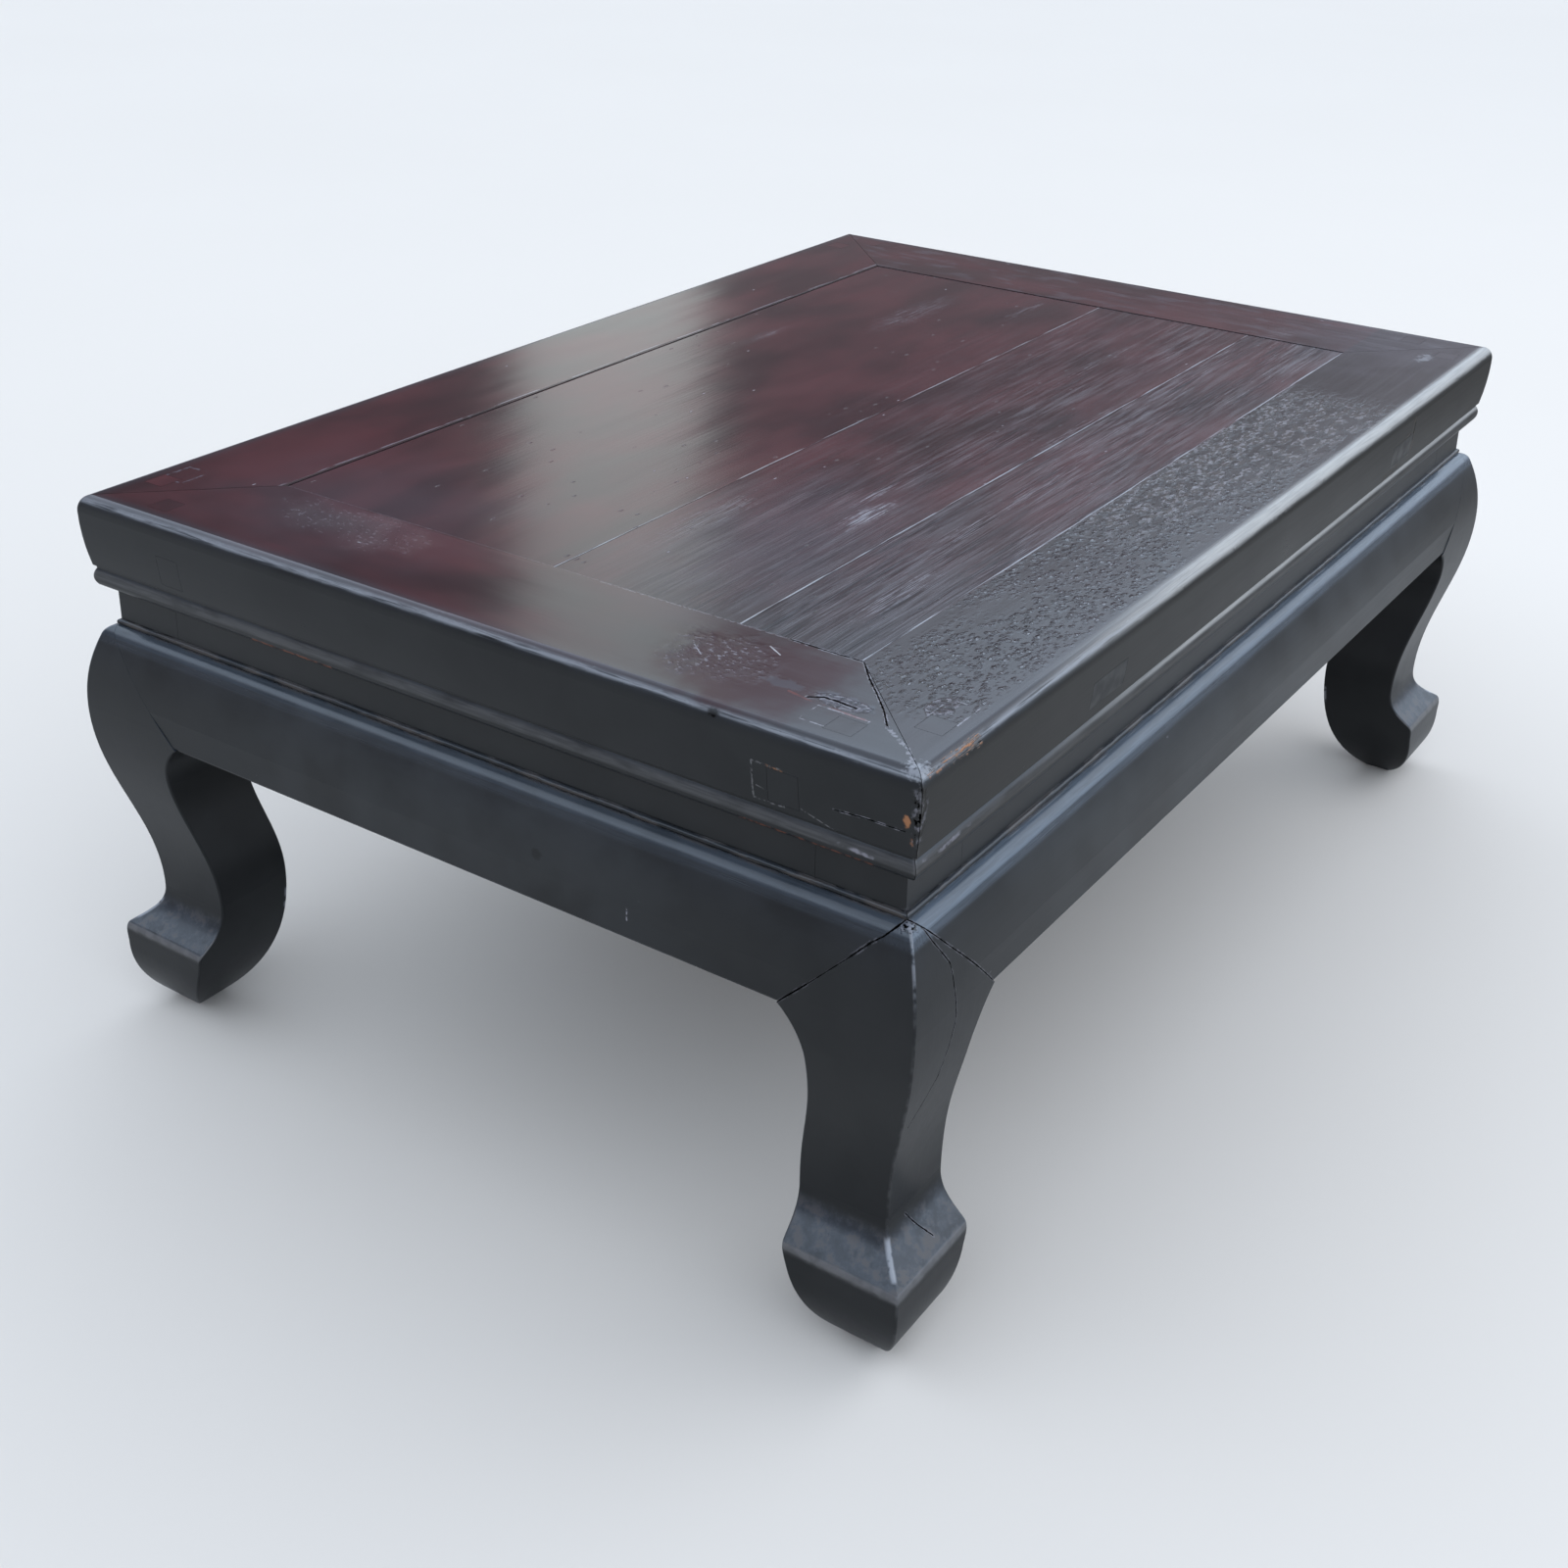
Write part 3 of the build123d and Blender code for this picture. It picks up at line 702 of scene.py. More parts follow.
def pebbles(finish, coat, top):
    """Lacquer that shrank into pebbles, and broke into flakes beside the panel."""
    ramp, noise = finish.ramp, finish.noise
    from_side = half_width + finish.y
    wander = noise(2.0 * MM, detail=2, shift=22) - 0.5
    cell = finish.node("TexVoronoi", None, {
        "Vector": finish.squeezed(3.1 * MM, (1.7, 1, 1), 21) + wander * 1.1, "Scale": 1.0})
    where = ramp(noise(50 * MM, (3, 1, 1), detail=1, shift=23), 0.26, 0.46)
    near = ramp(finish.x, 110 * MM, -30 * MM) * ramp(finish.x, PEBBLES_START, -305 * MM)
    middle = finish.band(finish.x, -60 * MM, PEBBLES_END - FLAKES_FADE, FLAKES_FADE)
    inner = ramp(from_side, 30 * MM, 54 * MM)
    dome = ramp(cell, 0.62, 0.10)
    strength = top * where * near.greater(middle * inner * 0.7) * ramp(from_side, 7 * MM, 15 * MM)
    flake = ramp(noise(5.5 * MM, (2.6, 1, 1), detail=4, roughness=0.6, shift=25), 0.46, 0.53)
    flaked = top * flake * middle * ramp(from_side + 0.12 * finish.x, 14 * MM, 46 * MM)
    crescent_highlight = ramp(cell, 0.26, 0.18) * ramp(cell, 0.06, 0.14) * ramp(noise(2.4 * MM, shift=29), 0.46, 0.58)
    chipped = ramp(noise(2.6 * MM, (2, 1, 1), detail=2, shift=28), 0.50, 0.60)
    coat.lift(strength * dome * 0.15 + flaked * 0.20)
    # Painted highlight: the pale crescents are where the pebbles would catch light.
    coat.tint(strength * crescent_highlight * 0.55, PALE_WEAR_DUST_AND_HIGHLIGHT)
    coat.tint(flaked * 0.30, WORN_BROWN)
    coat.tint(flaked * chipped * 0.45, SCUFFED)


print("pebbles lie between x =", round(PEBBLES_START, 3), "and", round(PEBBLES_END, 3))


# %% Arris and splinter
SPLINTER = ((8, 0.5, 319), (20, 0, 318.5), (48, 0.5, 317))


def rubbed_and_highlit_arris(finish, coat):
    """The front arris, worn to a cream band that fades towards the near corner; the band is partly wear and
    partly a painted highlight.
    """
    ramp = finish.ramp
    brushed = finish.noise(1.0 * MM, (30, 1, 1), detail=3, shift=63)
    along_edge = ramp(finish.x, -310 * MM, -60 * MM)
    worn_and_highlit_band = ramp(half_width + finish.y, 9.5 * MM, 4 * MM) * ramp(finish.slope, 0.22, 0.50)
    # Painted highlight, partly: the cream band stands in for the sky the rounded arris would mirror, over
    # real wear.
    coat.tint(worn_and_highlit_band * along_edge * (0.75 + 0.25 * ramp(brushed, 0.35, 0.62)) * 0.8, CREAM_WEAR_AND_HIGHLIGHT)
    coat.roughness = coat.roughness + worn_and_highlit_band * along_edge * 0.15


def splintered(finish, coat):
    """A long splinter out of the arris beside the corner, down to fibres of bare wood."""
    mask = stroke(finish, route(*SPLINTER), 3.4 * MM, ragged=0.7)
    fibre = finish.noise(0.7 * MM, (13, 1, 1), detail=3, shift=67)
    coat.tint(mask * finish.ramp(fibre, 0.40, 0.50), WORN_BROWN)
    coat.tint(mask * finish.ramp(fibre, 0.52, 0.60), BARE_WOOD)
    coat.tint(mask * finish.ramp(fibre, 0.40, 0.34), GAP)
    coat.lift(mask * (fibre * 0.9 - 0.4))


print("splinter from", SPLINTER[0][0], "to", SPLINTER[-1][0], "mm beside the corner")

# %% Front rail
TENON_GAP = 604
BROWNED = (0.024, 0.020, 0.015, 1)


def tenon_gap(coat):
    """The open gap beside the right batten's tenon, on the face of the rail."""
    edge = {"through": "Y", "share": 0.12, "pale": BARE_WOOD}
    coat.crack(route((TENON_GAP, 0, 307), (TENON_GAP - 1, 0, 289)), 2.0, **edge)
    coat.crack(route((TENON_GAP - 6, 0, 301), (TENON_GAP - 14, 0, 300)), 1.0, **edge)
    coat.crack(route((TENON_GAP - 40, 0, 281), (TENON_GAP - 16, 0, 282)), 1.0, **edge)


def front_rail_marks(finish, coat, top):
    ramp = finish.ramp
    pebbles(finish, coat, top)
    rubbed_and_highlit_arris(finish, coat)
    splintered(finish, coat)
    crust(finish, coat, (59, 26), (11, 6.5))
    coat.line(outline((48, 12), (68, 27), TOP), 0.45, SCUFFED, 0.8, ragged=1.6, size=6)
    tenon_gap(coat)
    coat.line(route((7, 3, 276), (24, 3, 274), (50, 3, 275.5)), 1.2, SCUFFED, 0.9, size=8)
    coat.line(route((170, 0, 297), (178, 0, 297)), 0.6, SCUFFED, size=1.5, through="Y")
    coat.blot((193, 0, 291), (1.6, 1.6, 1.6), GAP)
    coat.blot((706, 29, TOP), (14, 6, 6), PALE_WEAR_DUST_AND_HIGHLIGHT, 0.5, ragged=1.0, size=5, edge=0.1)
    corner_wear(finish, coat)
    face = ramp(abs(finish.slope), 0.40, 0.15) * ramp(half_width + finish.y, 9 * MM, 6 * MM)
    coat.tint(face * 0.35, BROWNED)
    coat.matt = (face * 0.26).greater(coat.matt)


front_rail_finish = lacquer("crazed_lacquer", "X", shift=3.0, board=0.12, marks=front_rail_marks)
print("front rail:", front_rail_finish.name)

# %% [markdown]
# ## The left rail
#
# This short rail has kept a patch of dull maroon and a rough place beside it. Its tenon outline and
# its crust lie close to the corner. On its end face the long rail's tenon shows as a fine rectangle,
# and single cracks, chips and red edges follow. Each is one call with its place in millimetres; they
# could be noise, but single scars are what makes one table this table.

# %% Top of the left rail
MAROON_PATCH = (0.040, 0.0085, 0.012, 1)
RED_LINE = (0.10, 0.022, 0.02, 1)
DARK_RED_LINE = (0.03, 0.006, 0.007, 1)


def maroon_patch(finish, coat, top):
    """A patch of dull maroon and two rough places."""
    lump = finish.noise(2.4 * MM, (1, 1.6, 1), detail=4, roughness=0.6, shift=61)
    rough = finish.spot(corner_point(44, 132), (32 * MM, 34 * MM, 1), ragged=0.5, size=0.012, edge=0.3)
    far_rough = finish.spot(corner_point(58, 385), (30 * MM, 70 * MM, 1), ragged=0.6, size=0.02, edge=0.2)
    patch = finish.spot(corner_point(40, 112), (52 * MM, 62 * MM, 1), ragged=0.4, size=0.016, edge=0.45)
    either = rough.greater(far_rough * 0.5)
    coat.tint(patch * top * 0.7, MAROON_PATCH)
    coat.tint(either * top * finish.ramp(lump, 0.57, 0.65) * 0.55, SCUFFED)
    coat.lift(top * either * lump * 0.3)
    coat.roughness = coat.roughness + (rough * 0.06 + far_rough * 0.08) * top
    coat.matt = patch * 0.36 * top


def left_rail_top(finish, coat):
    """Crust, tenon outline and the lines along the inner edge."""
    # Painted sheen: a bluish blot where the worn top would mirror the sky.
    coat.blot((38, 93, TOP), (5, 13, 20), DUST_AND_SKY_SHEEN, 0.35, ragged=0.8, size=5)
    coat.line(route((61, 112, TOP), (66, 121, TOP)), 0.5, DUST, ragged=0.3, size=20)
    coat.line(route((40, 141, TOP), (47, 150, TOP)), 0.4, SCUFFED, ragged=0.4, size=20)
    # Painted highlight: a bluish pale blot over the crust, where it would catch the sky.
    coat.blot((38, 63, TOP), (7, 18, 20), BLUE_DUST_AND_HIGHLIGHT, 0.25, ragged=0.6, size=5)
    crust(finish, coat, (37, 62), (6, 15))
    coat.crack(route((33, 78, TOP), (37, 72, TOP), (37, 64, TOP), (36, 55, TOP)), 0.9, depth=0.7)
    coat.line(route((33, 88, TOP), (31, 78, TOP), (29, 50, TOP), (29, 35, TOP)), 1.0, RED_LINE, size=9)
    coat.line(outline((14, 44), (29, 70), TOP), 0.45, SCUFFED, 0.7, ragged=1.6, size=7)
    coat.crack(route((77.6, 78, TOP), (77.3, 96, TOP), (77.8, 118, TOP)), 0.55)
    coat.line(route((77.2, 118, TOP), (77.2, 165, TOP), (77.2, 420, TOP)), 0.6, DARK_RED_LINE, 0.8, size=9)
    coat.line(route((77.4, 118, TOP), (77.4, 165, TOP), (77.4, 230, TOP)), 0.45, SCUFFED, 0.45, size=2)


print("maroon patch round", [round(v, 3) for v in corner_point(40, 112)])

# %% End face of the left rail
RED_EDGE = (0.25, 0.085, 0.045, 1)


def left_rail_face(coat):
    """Tenon outline, cracks, red edges and two chips on the end face."""
    face = {"through": "X"}
    coat.blot((1, 106, 317), (3, 4, 3), GAP, 0.9, size=1.5)
    coat.line(outline((69, 282), (85, 301), 0, axis="X"), 0.6, RUBBED_EDGE, ragged=1.0, size=2, **face)
    coat.line(route((0, 69, 300), (0, 77, 300.5)), 1.1, BARE_WOOD, 0.6, size=1.5, **face)
    coat.crack(route((0, 43, 290.3), (0, 28, 291.5), (0, 8, 291.8)), 0.35, share=0.8, **face)
    coat.line(route((0, 83, 289), (0, 62, 285), (0, 43, 279)), 0.5, RUBBED_EDGE, size=2, **face)
    coat.line(route((0, 44, 274), (0, 24, 272.8)), 1.2, SCUFFED, 0.9, size=8, **face)
    coat.line(route((0, 401, 268.8), (0, 345, 268.8)), 0.9, RED_EDGE, 0.9, size=9, **face)
    coat.line(route((0, 95, 268.8), (0, 25, 268.8)), 0.7, RED_EDGE, 0.6, size=3, **face)
    coat.blot((0, 7, 297), (2.5, 2.2, 4.2), BARE_WOOD, size=1.6)
    coat.blot((0, 5, 287), (2.5, 1.6, 3.4), BARE_WOOD, 0.9, size=1.6)


def left_rail_marks(finish, coat, top):
    maroon_patch(finish, coat, top)
    left_rail_top(finish, coat)
    left_rail_face(coat)
    corner_wear(finish, coat)


left_rail_finish = lacquer("patched_lacquer", "Y", shift=33.0, board=0.15, marks=left_rail_marks)
print("left rail:", left_rail_finish.name)

# %% [markdown]
# ## The legs
#
# A leg is touched at three places: its ridge, the lip where the foot turns under, and the shelf above
# that lip. There the lacquer is thin and polished pale, and part of that pale is painted light: a
# painted highlight along the ridge, at its tip and on the lip, and a painted bluish sheen with brown
# wear on the shelf. The ridge is where both distances from the edges of the top are equal, because
# each leg stands on the diagonal of its corner. Lip and shelf are bands of height, narrowed by slope.

# %% Legs
LIP_POLISH_AND_HIGHLIGHT = (0.165, 0.160, 0.162, 1)


def leg_marks(finish, coat, top):
    ramp, noise, band = finish.ramp, finish.noise, finish.band
    from_end, from_side = edge_distances(finish)
    uneven = noise(6 * MM, detail=3, shift=73)
    cloud = noise(9 * MM, detail=4, roughness=0.7, shift=75)
    ridge = finish.line(from_end - from_side, 1.5 * MM) * ramp(finish.z, shoulder, shoulder - MM)
    ridge_polish_and_highlight = ramp(finish.z, 205 * MM, 232 * MM).greater(band(finish.z, 56 * MM, 64 * MM, 4 * MM))
    lip = band(finish.slope, 0.20, 0.50, 0.20) * band(finish.z, 38 * MM, kick_lip + 5 * MM, 4 * MM)
    shelf = band(finish.z, kick_lip, 74 * MM, 12 * MM) * ramp(finish.slope, 0.10, 0.7)
    tip = finish.line(from_end - from_side, 2.8 * MM) * band(finish.z, 57 * MM, 66 * MM, 3 * MM)
    # Painted sheen, partly: the bluish tone on the foot's shelf is dust and the sky it would mirror.
    coat.tint(shelf * (0.10 + 0.65 * ramp(cloud, 0.40, 0.62)), DUST_AND_SKY_SHEEN)
    coat.tint(shelf * ramp(cloud, 0.50, 0.62) * 0.55, WORN_BROWN)
    # Painted highlight: the pale lip is polish and the light the turn would catch.
    coat.tint(lip * (0.75 + 0.25 * ramp(uneven, 0.36, 0.60)) * 0.75, LIP_POLISH_AND_HIGHLIGHT)
    coat.tint(ridge * ramp(uneven, 0.40, 0.6) * 0.25, RUBBED_EDGE)
    # Painted highlight along the ridge and at its tip, over real wear.
    coat.tint(ridge * ridge_polish_and_highlight * ramp(uneven, 0.38, 0.56) * 0.40, PALE_WEAR_DUST_AND_HIGHLIGHT)
    coat.tint(tip * ramp(uneven, 0.34, 0.50) * 0.75, PALE_WEAR_DUST_AND_HIGHLIGHT)


black_along["Z"] = lacquer("lacquer_grain_z", "Z", marks=leg_marks)
print("legs:", black_along["Z"].name)

# %% [markdown]
# ## The near left leg
#
# This leg has split: one long crack wanders down its right face and a short one crosses the foot. The
# mitres at its head have opened, and the lacquer has chipped where they meet under the ledge. The
# mitre cracks have a function of their own, because they lie on the aprons' side of the joint as well.


# %% Near left leg
def mitre_cracks(coat):
    """The opened mitres between the near left leg and its two aprons."""
    coat.crack(route((0, 11, 243.5), (0, 17, 237), (0, 22, 233), (0, 30, 224.5)),
               0.5, share=0.35, through="X")
    coat.crack(route((0, 30, 224.5), (0, 50, 204)), 0.22, share=0.15, through="X")
    coat.crack(route((0, 50, 204), (0, 66, 188)), 0.42, share=0.2, through="X")
    coat.crack(route((11, 0, 243.5), (28, 0, 226), (46, 0, 208.5), (66, 0, 188)),
               0.42, share=0.35, through="Y")


def near_leg_marks(finish, coat, top):
    leg_marks(finish, coat, top)
    long_split = route((12, 0, 243), (17, 0, 233), (26, 0, 219),
                       (30.5, 0, 189), (24, 0, 160), (10, 0, 138.6))
    coat.crack(long_split, 0.42, share=0.25, through="Y")
    reach = (9 * MM, 9 * MM, 5 * MM)
    head = finish.spot(corner_point(9, 9, 244), reach, ragged=0.6, size=0.003, edge=0.4)
    lump = finish.noise(1.6 * MM, detail=3, shift=57)
    coat.tint(head * finish.ramp(lump, 0.5, 0.58) * 0.5, SCUFFED)
    coat.tint(head * finish.ramp(lump, 0.49, 0.44), GAP)
    coat.lift(head * lump * 0.8)
    mitre_cracks(coat)
    coat.line(route((-3, -3, 206), (-4, -4, 196)), 1.2, DUST, size=1.4)
    coat.crack(route((31, 0, 71), (36, 0, 63), (40, 0, 57)), 0.4, share=0.4, through="Y")


near_leg_finish = lacquer("cracked_lacquer", "Z", marks=near_leg_marks)
print("near left leg:", near_leg_finish.name)

# %% [markdown]
# ## The aprons beside it
#
# The two aprons that meet at this leg carry a thin cloudy film on their broad faces, which fades
# towards the legs, where hands have polished it away. A knock and a scratch sit on the left one.

# %% Aprons beside the near left leg
THIN_FILM = (0.064, 0.070, 0.076, 1)


def apron_marks(finish, coat, top):
    from_end, from_side = edge_distances(finish)
    cloud = finish.noise(40 * MM, detail=3, shift=77)
    away_from_legs = finish.ramp(from_end.greater(from_side), 40 * MM, 190 * MM)
    coat.tint(finish.ramp(cloud, 0.2, 0.7) * away_from_legs * 0.24, THIN_FILM)
    mitre_cracks(coat)
    coat.blot((-3, 205, 214), (6, 4, 3.5), GAP, 0.6, size=2)
    coat.line(route((0, 150, 205), (0, 150, 199)), 0.6, SCUFFED, size=1.5, through="X")


front_apron_finish = lacquer("lacquer_apron_front", "X", shift=5.0, marks=apron_marks)
left_apron_finish = lacquer("lacquer_apron_left", "Y", shift=11.0, marks=apron_marks)
print("aprons:", front_apron_finish.name, left_apron_finish.name)

# %% [markdown]
# ## The panel boards
#
# Dust has settled in the seams between the boards and along the frame. It shows as a thin pale line,
# broken where the gap is open and dark. Longer scratches run with the grain, and small pits lie
# between them. All three boards share the marks, and each takes less wiping the further back it lies.

# %% Marks of the boards
SEAMS = tuple(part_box(name)[0].y for name in ("board_middle", "board_back"))


def dusty_seams(finish, coat, top):
    """Pale broken lines along the seams and the frame; returns the seams for relief."""
    broken = finish.ramp(finish.noise(1.4 * MM, (24, 1, 1), detail=3, shift=81), 0.40, 0.56)
    seam = finish.line(finish.y - SEAMS[0] - 0.6 * MM, 0.7 * MM)
    seam = seam.greater(finish.line(finish.y - SEAMS[1] - 0.6 * MM, 0.7 * MM) * 0.75)
    wavy = (finish.noise(9 * MM, (4, 1, 1), detail=2, shift=85) - 0.5) * (1.6 * MM)
    by_frame = finish.line(finish.y + inner_y - 0.9 * MM + wavy, 0.8 * MM)
    by_frame = by_frame.greater(finish.line(inner_x - abs(finish.x) - 0.6 * MM, 0.6 * MM) * 0.35)
    coat.tint(top * seam.greater(by_frame) * broken * 0.9, PALE_WEAR_DUST_AND_HIGHLIGHT)
    return seam * broken


def board_marks(finish, coat, top):
    ramp = finish.ramp
    seam = dusty_seams(finish, coat, top)
    scratches = finish.flecks(14 * MM, 0.036, 0.30, along=(34, 1, 1), shift=83)
    scratched = scratches * ramp(finish.x, -0.34, -0.1) * ramp(finish.y, 0.12, -0.02)
    coat.tint(top * scratched * 0.85, SCUFFED)
    pits = finish.flecks(7 * MM, 0.14, 0.25, along=(2.4, 1, 1), shift=87)
    coat.tint(top * pits * ramp(finish.y, 0.08, -0.08) * 0.6, TOP_BLACK)
    coat.lift(top * (seam * 0.05 - pits * 0.12))
    coat.crack(route((78.4, 78, TOP), (78.2, 96, TOP), (78.6, 118, TOP)), 0.6, share=0.5)


print("seams at", [round(y, 4) for y in SEAMS])

# %% Boards, from the front to the back
board_finishes = {}
for number, name in enumerate(("board_front", "board_middle", "board_back")):
    board_finishes[name] = lacquer("lacquer_" + name, "X", shift=7.0 + number * 5,
                                   board=1.0 - number * 0.3, marks=board_marks)
print("boards:", sorted(board_finishes))

# %% [markdown]
# ## The back and right rails
#
# The back rail has kept its gloss and most of its red. Only its inner edge is ragged, where the panel
# has moved. The tenon of the back left leg shows as a faint oblong beside the mitre, which has closed
# to a thin dark line. The right rail is clouded in small swirls, as a cloth leaves them.

# %% Back and right rails
MITRE_LINE = (0.012, 0.006, 0.006, 1)


def back_rail_marks(finish, coat, top):
    ramp, noise = finish.ramp, finish.noise
    wavy = (noise(14 * MM, (3, 1, 1), detail=3, shift=91) - 0.5) * (2.4 * MM)
    broken = ramp(noise(3 * MM, (6, 1, 1), detail=3, shift=93), 0.45, 0.58)
    ragged_edge = finish.line(inner_y - finish.y + 0.9 * MM + wavy, 0.9 * MM)
    pale_edge = finish.line(inner_y - finish.y + 2.6 * MM + wavy, MM)
    coat.tint(top * ragged_edge * 0.8, GAP)
    coat.tint(top * pale_edge * broken * 0.5, SCUFFED)
    coat.lift(top * ragged_edge * -0.3)
    coat.line(outline((46, 498), (66, 514), TOP), 0.9, HAZE, 0.9, ragged=1.4, size=7)
    coat.line(route((2, 526, TOP), (76, 452, TOP)), 0.7, MITRE_LINE, size=12)


def right_rail_marks(finish, coat, top):
    swirl = finish.noise(10 * MM, (1, 3, 1), detail=3, shift=95)
    coat.tint(top * finish.ramp(swirl, 0.52, 0.66) * 0.35, HAZE)


back_rail_finish = lacquer("lacquer_rail_back", "X", shift=29.0, board=0.06, marks=back_rail_marks)
right_rail_finish = lacquer("lacquer_rail_right", "Y", shift=37.0, board=0.25, marks=right_rail_marks)
print("back rail:", back_rail_finish.name, "right rail:", right_rail_finish.name)

# %% [markdown]
# ## Bare battens
#
# The two battens under the panel never saw lacquer, only a wash of thin stain and a century of dust.
# Their tenon ends come through the long rails and were lacquered with them, so the last millimetres
# turn black.

# %% Stained wood for the battens
STAINED = (0.13, 0.075, 0.045, 1)
STAINED_PALE = (0.20, 0.125, 0.075, 1)
STAINED_RING = (0.09, 0.05, 0.03, 1)
BATTEN_DUST = (0.26, 0.22, 0.18, 1)


def bare_wood(name, along):
    finish = Finish(name)
    ramp, blend = finish.ramp, finish.blend
    grain = finish.noise(1.8 * MM, stretch(along), detail=4)
    ring = finish.noise(9 * MM, stretch(along), detail=2, shift=4)
    dust = ramp(finish.noise(30 * MM, detail=4, shift=8), 0.45, 0.7)
    tenon_end = ramp(half_width - abs(finish.y), 6 * MM, 4 * MM)
    colour = blend(ramp(grain, 0.35, 0.65), STAINED, STAINED_PALE)
    colour = blend(ramp(ring, 0.5, 0.7) * 0.6, colour, STAINED_RING)
    colour = blend(dust * 0.35, colour, BATTEN_DUST)
    colour = blend(tenon_end, colour, BLACK)
    roughness = ramp(ring, 0.3, 0.7) * 0.15 + 0.6 - tenon_end * 0.3
    return dry(Coat(finish, colour, roughness, (grain * 0.08 + ring * 0.1) * (1 - tenon_end)))


batten_wood = bare_wood("bare_batten_wood", "Y")
print("battens:", batten_wood.name)

# %% [markdown]
# ## Putting the finishes on
#
# Every piece keeps its shape and only gets a material. Waists, ledges, far aprons and far legs take
# the plain black lacquer for the way their grain runs; the pieces with scars of their own take theirs.

# %% Put the finishes on the joinery
finish_of = {}
for side, axis in (("front", "X"), ("back", "X"), ("left", "Y"), ("right", "Y")):
    for member in ("waist_", "ledge_", "apron_"):
        finish_of[member + side] = black_along[axis]
for corner in ("front_left", "front_right", "back_left", "back_right"):
    finish_of["leg_" + corner] = black_along["Z"]
finish_of.update(board_finishes)
finish_of.update({
    "rail_front": front_rail_finish, "rail_left": left_rail_finish,
    "rail_back": back_rail_finish, "rail_right": right_rail_finish,
    "leg_front_left": near_leg_finish, "apron_front": front_apron_finish,
    "apron_left": left_apron_finish, "batten_left": batten_wood, "batten_right": batten_wood})


def dress(piece, material):
    """Puts one material into every slot of a piece."""
    if not piece.material_slots:
        piece.data.materials.append(material)
    for slot in piece.material_slots:
        slot.material = material


for name, material in finish_of.items():
    dress(nodes[name], material)
print("dressed", len(finish_of), "of", len(nodes), "pieces")

# %% [markdown]
# ## Floor
#
# A pale, matt floor. Black lacquer mirrors its floor like a pool, and over a white floor it would
# look grey. So the lacquer meets a darker floor than the camera does, darker still to the right, as if
# dark cloths lay round the table out of view. Light Path tells which kind of ray is asking.

# %% Floor
FLOOR_SIZE = 40.0
PALE_PAINT = ((0.72, 0.66, 0.60, 1), (0.74, 0.68, 0.62, 1))
NEAR_CLOTH = (0.50, 0.47, 0.44, 1)
FAR_CLOTH = (0.22, 0.20, 0.18, 1)

bpy.ops.mesh.primitive_plane_add(size=FLOOR_SIZE, location=(0, 0, 0))
floor = bpy.context.object
floor.name = "floor"
paint = Finish("floor_paint")
seen_tone = paint.blend(paint.noise(0.6, detail=3), *PALE_PAINT)
mirrored_tone = paint.blend(paint.ramp(paint.x, 0.45, 1.40), NEAR_CLOTH, FAR_CLOTH)
floor_tone = paint.blend(paint.node("LightPath", out="Is Camera Ray"), mirrored_tone, seen_tone)
floor.data.materials.append(dry(Coat(paint, floor_tone, 0.9, paint.noise(0.02) * 0.05), specular=0.1))
print("floor", FLOOR_SIZE, "m square")

# %% [markdown]
# ## The dome
#
# Lacquer shows what stands round it. Under an even white dome this table would be one grey veil, so
# the dome is a yard: a wall, pale near the ground and dark above, then a hazy horizon, a bright sky
# and a softer light overhead. The wall is lower on the open side. One number, the level, stands for
# that: the height of a direction, plus a share of how far it leans to the open side. A tall opening
# behind the table draws the long pale band across the top. The camera itself sees plain white paper.

# %% Tones and directions of the dome
OVERHEAD = (1.10, 1.25, 1.45, 1)
SKY = (1.75, 2.08, 2.50, 1)
HORIZON = (0.74, 0.70, 0.74, 1)
DARK_WALL = (0.125, 0.122, 0.132, 1)
PALE_WALL = (0.30, 0.285, 0.31, 1)
OPENING = (1.40, 1.52, 1.51, 1)
PAPER = (0.93, 0.93, 0.93, 1)
OPEN_SIDE = (0.566, -0.824, 0.0)
OPEN_SHARE = 0.39
OPENING_TURN = math.radians(39.2)
ahead_way = (math.cos(OPENING_TURN), math.sin(OPENING_TURN), 0)
across_way = (-math.sin(OPENING_TURN), math.cos(OPENING_TURN), 0)
print("opening towards", [round(v, 3) for v in ahead_way])


# %% Soft dome
def soft_dome(world):
    sky = Tree(world)
    ramp, blend = sky.ramp, sky.blend
    way = sky.node("TexCoord", out="Generated")

    def towards(direction):
        return sky.node("VectorMath", {"operation": "DOT_PRODUCT"}, {0: way, 1: direction}, out="Value")

    height = sky.part(way, "Z")
    level = height + towards(OPEN_SIDE).greater(-0.15) * OPEN_SHARE
    light = blend(ramp(height, 0.30, 0.25), DARK_WALL, PALE_WALL)
    light = blend(ramp(level, 0.375, 0.440), light, HORIZON)
    light = blend(ramp(level, 0.432, 0.478), light, SKY)
    light = blend(ramp(level, 0.56, 0.80), light, OVERHEAD)
    opening = ramp(abs(towards(across_way)), 0.054, 0.036) * ramp(towards(ahead_way), 0, 0.1)
    opening = opening * ramp(height, 0.17, 0.21) * ramp(height, 0.5, 0.45)
    light = blend(opening, light, OPENING)
    light = blend(sky.node("LightPath", out="Is Camera Ray"), light, PAPER)
    background = sky.node("Background", None, {"Color": light, "Strength": 1.0})
    sky.node("OutputWorld", None, {"Surface": background})


bpy.context.scene.world = bpy.data.worlds.new("soft_dome")
soft_dome(bpy.context.scene.world)
print("dome:", bpy.context.scene.world.name)

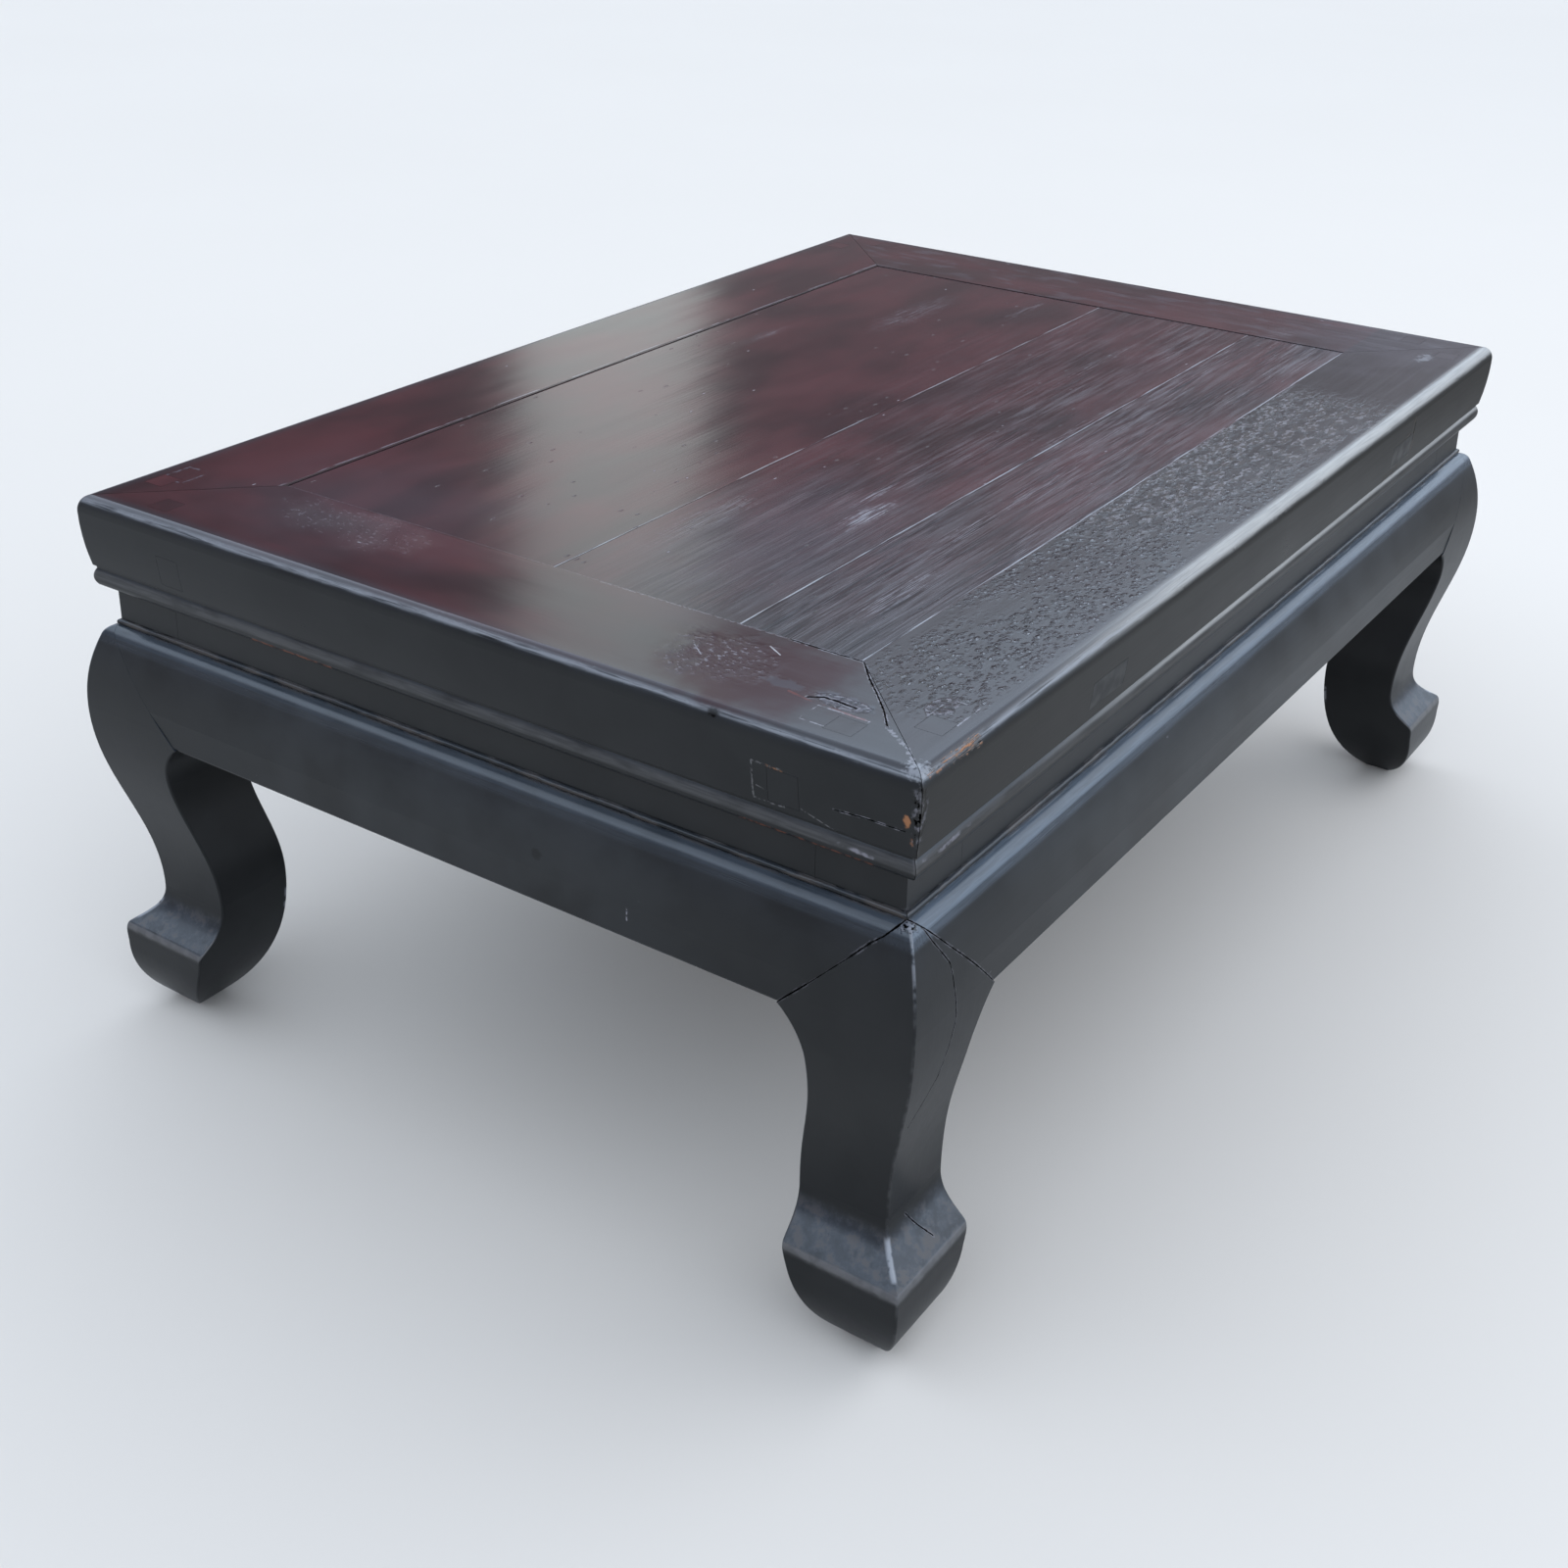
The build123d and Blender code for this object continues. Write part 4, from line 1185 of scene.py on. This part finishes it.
# %% [markdown]
# ## A soft box
#
# The dome alone leaves the front of the legs flat. One wide rectangular lamp stands in front, to the
# right and well above the table. It is weak and large, so it models the legs without a hard shadow.


# %% Soft box
def soft_box(name, place, aim, width, height, power):
    """A rectangular lamp of that width and height, facing aim."""
    lamp = bpy.data.lights.new(name, "AREA")
    lamp.shape = "RECTANGLE"
    lamp.size = width
    lamp.size_y = height
    lamp.energy = power
    holder = bpy.data.objects.new(name, lamp)
    bpy.context.scene.collection.objects.link(holder)
    holder.location = place
    holder.rotation_euler = (Vector(aim) - Vector(place)).to_track_quat("-Z", "Y").to_euler()
    return holder


front_box = soft_box("front_box", (1.65, -1.55, 1.95), (0, 0, 0.2), 2.2, 1.9, 8)
print("lamp:", front_box.name, front_box.data.energy, "W")

# %% [markdown]
# ## Camera
#
# The camera stands at the near left corner, a little above sitting height, and looks down along the
# table. It leans by about one degree, as a camera held in the hand does. Its turn is built from three
# directions, right, up and back, which are the columns of a rotation matrix.

# %% Camera
EYE = Vector((-1.01311, -0.62079, 0.71477))
TURN = 0.59332
DIP = 0.40968
LEAN = 0.02032
FOCAL = 46.867
SENSOR = 36.0
LOWERED = -0.1229


def held_camera():
    """The camera at EYE, angles in radians, lens and sensor in millimetres."""
    lens = bpy.data.cameras.new("camera")
    lens.lens = FOCAL
    lens.sensor_width = SENSOR
    lens.shift_y = LOWERED
    holder = bpy.data.objects.new("camera", lens)
    bpy.context.scene.collection.objects.link(holder)
    forward = Vector((math.cos(DIP) * math.cos(TURN), math.cos(DIP) * math.sin(TURN), -math.sin(DIP)))
    level = forward.cross(Vector((0, 0, 1))).normalized()
    upright = level.cross(forward)
    right = level * math.cos(LEAN) + upright * math.sin(LEAN)
    above = right.cross(forward)
    turn = Matrix((right, above, -forward)).transposed()
    holder.matrix_world = Matrix.Translation(EYE) @ turn.to_4x4()
    return holder


bpy.context.scene.camera = held_camera()
bpy.context.scene.view_settings.view_transform = "Standard"
print("camera at", [round(v, 3) for v in EYE])

# %% [markdown]
# ## Sizes
#
# A finish must not change a shape.
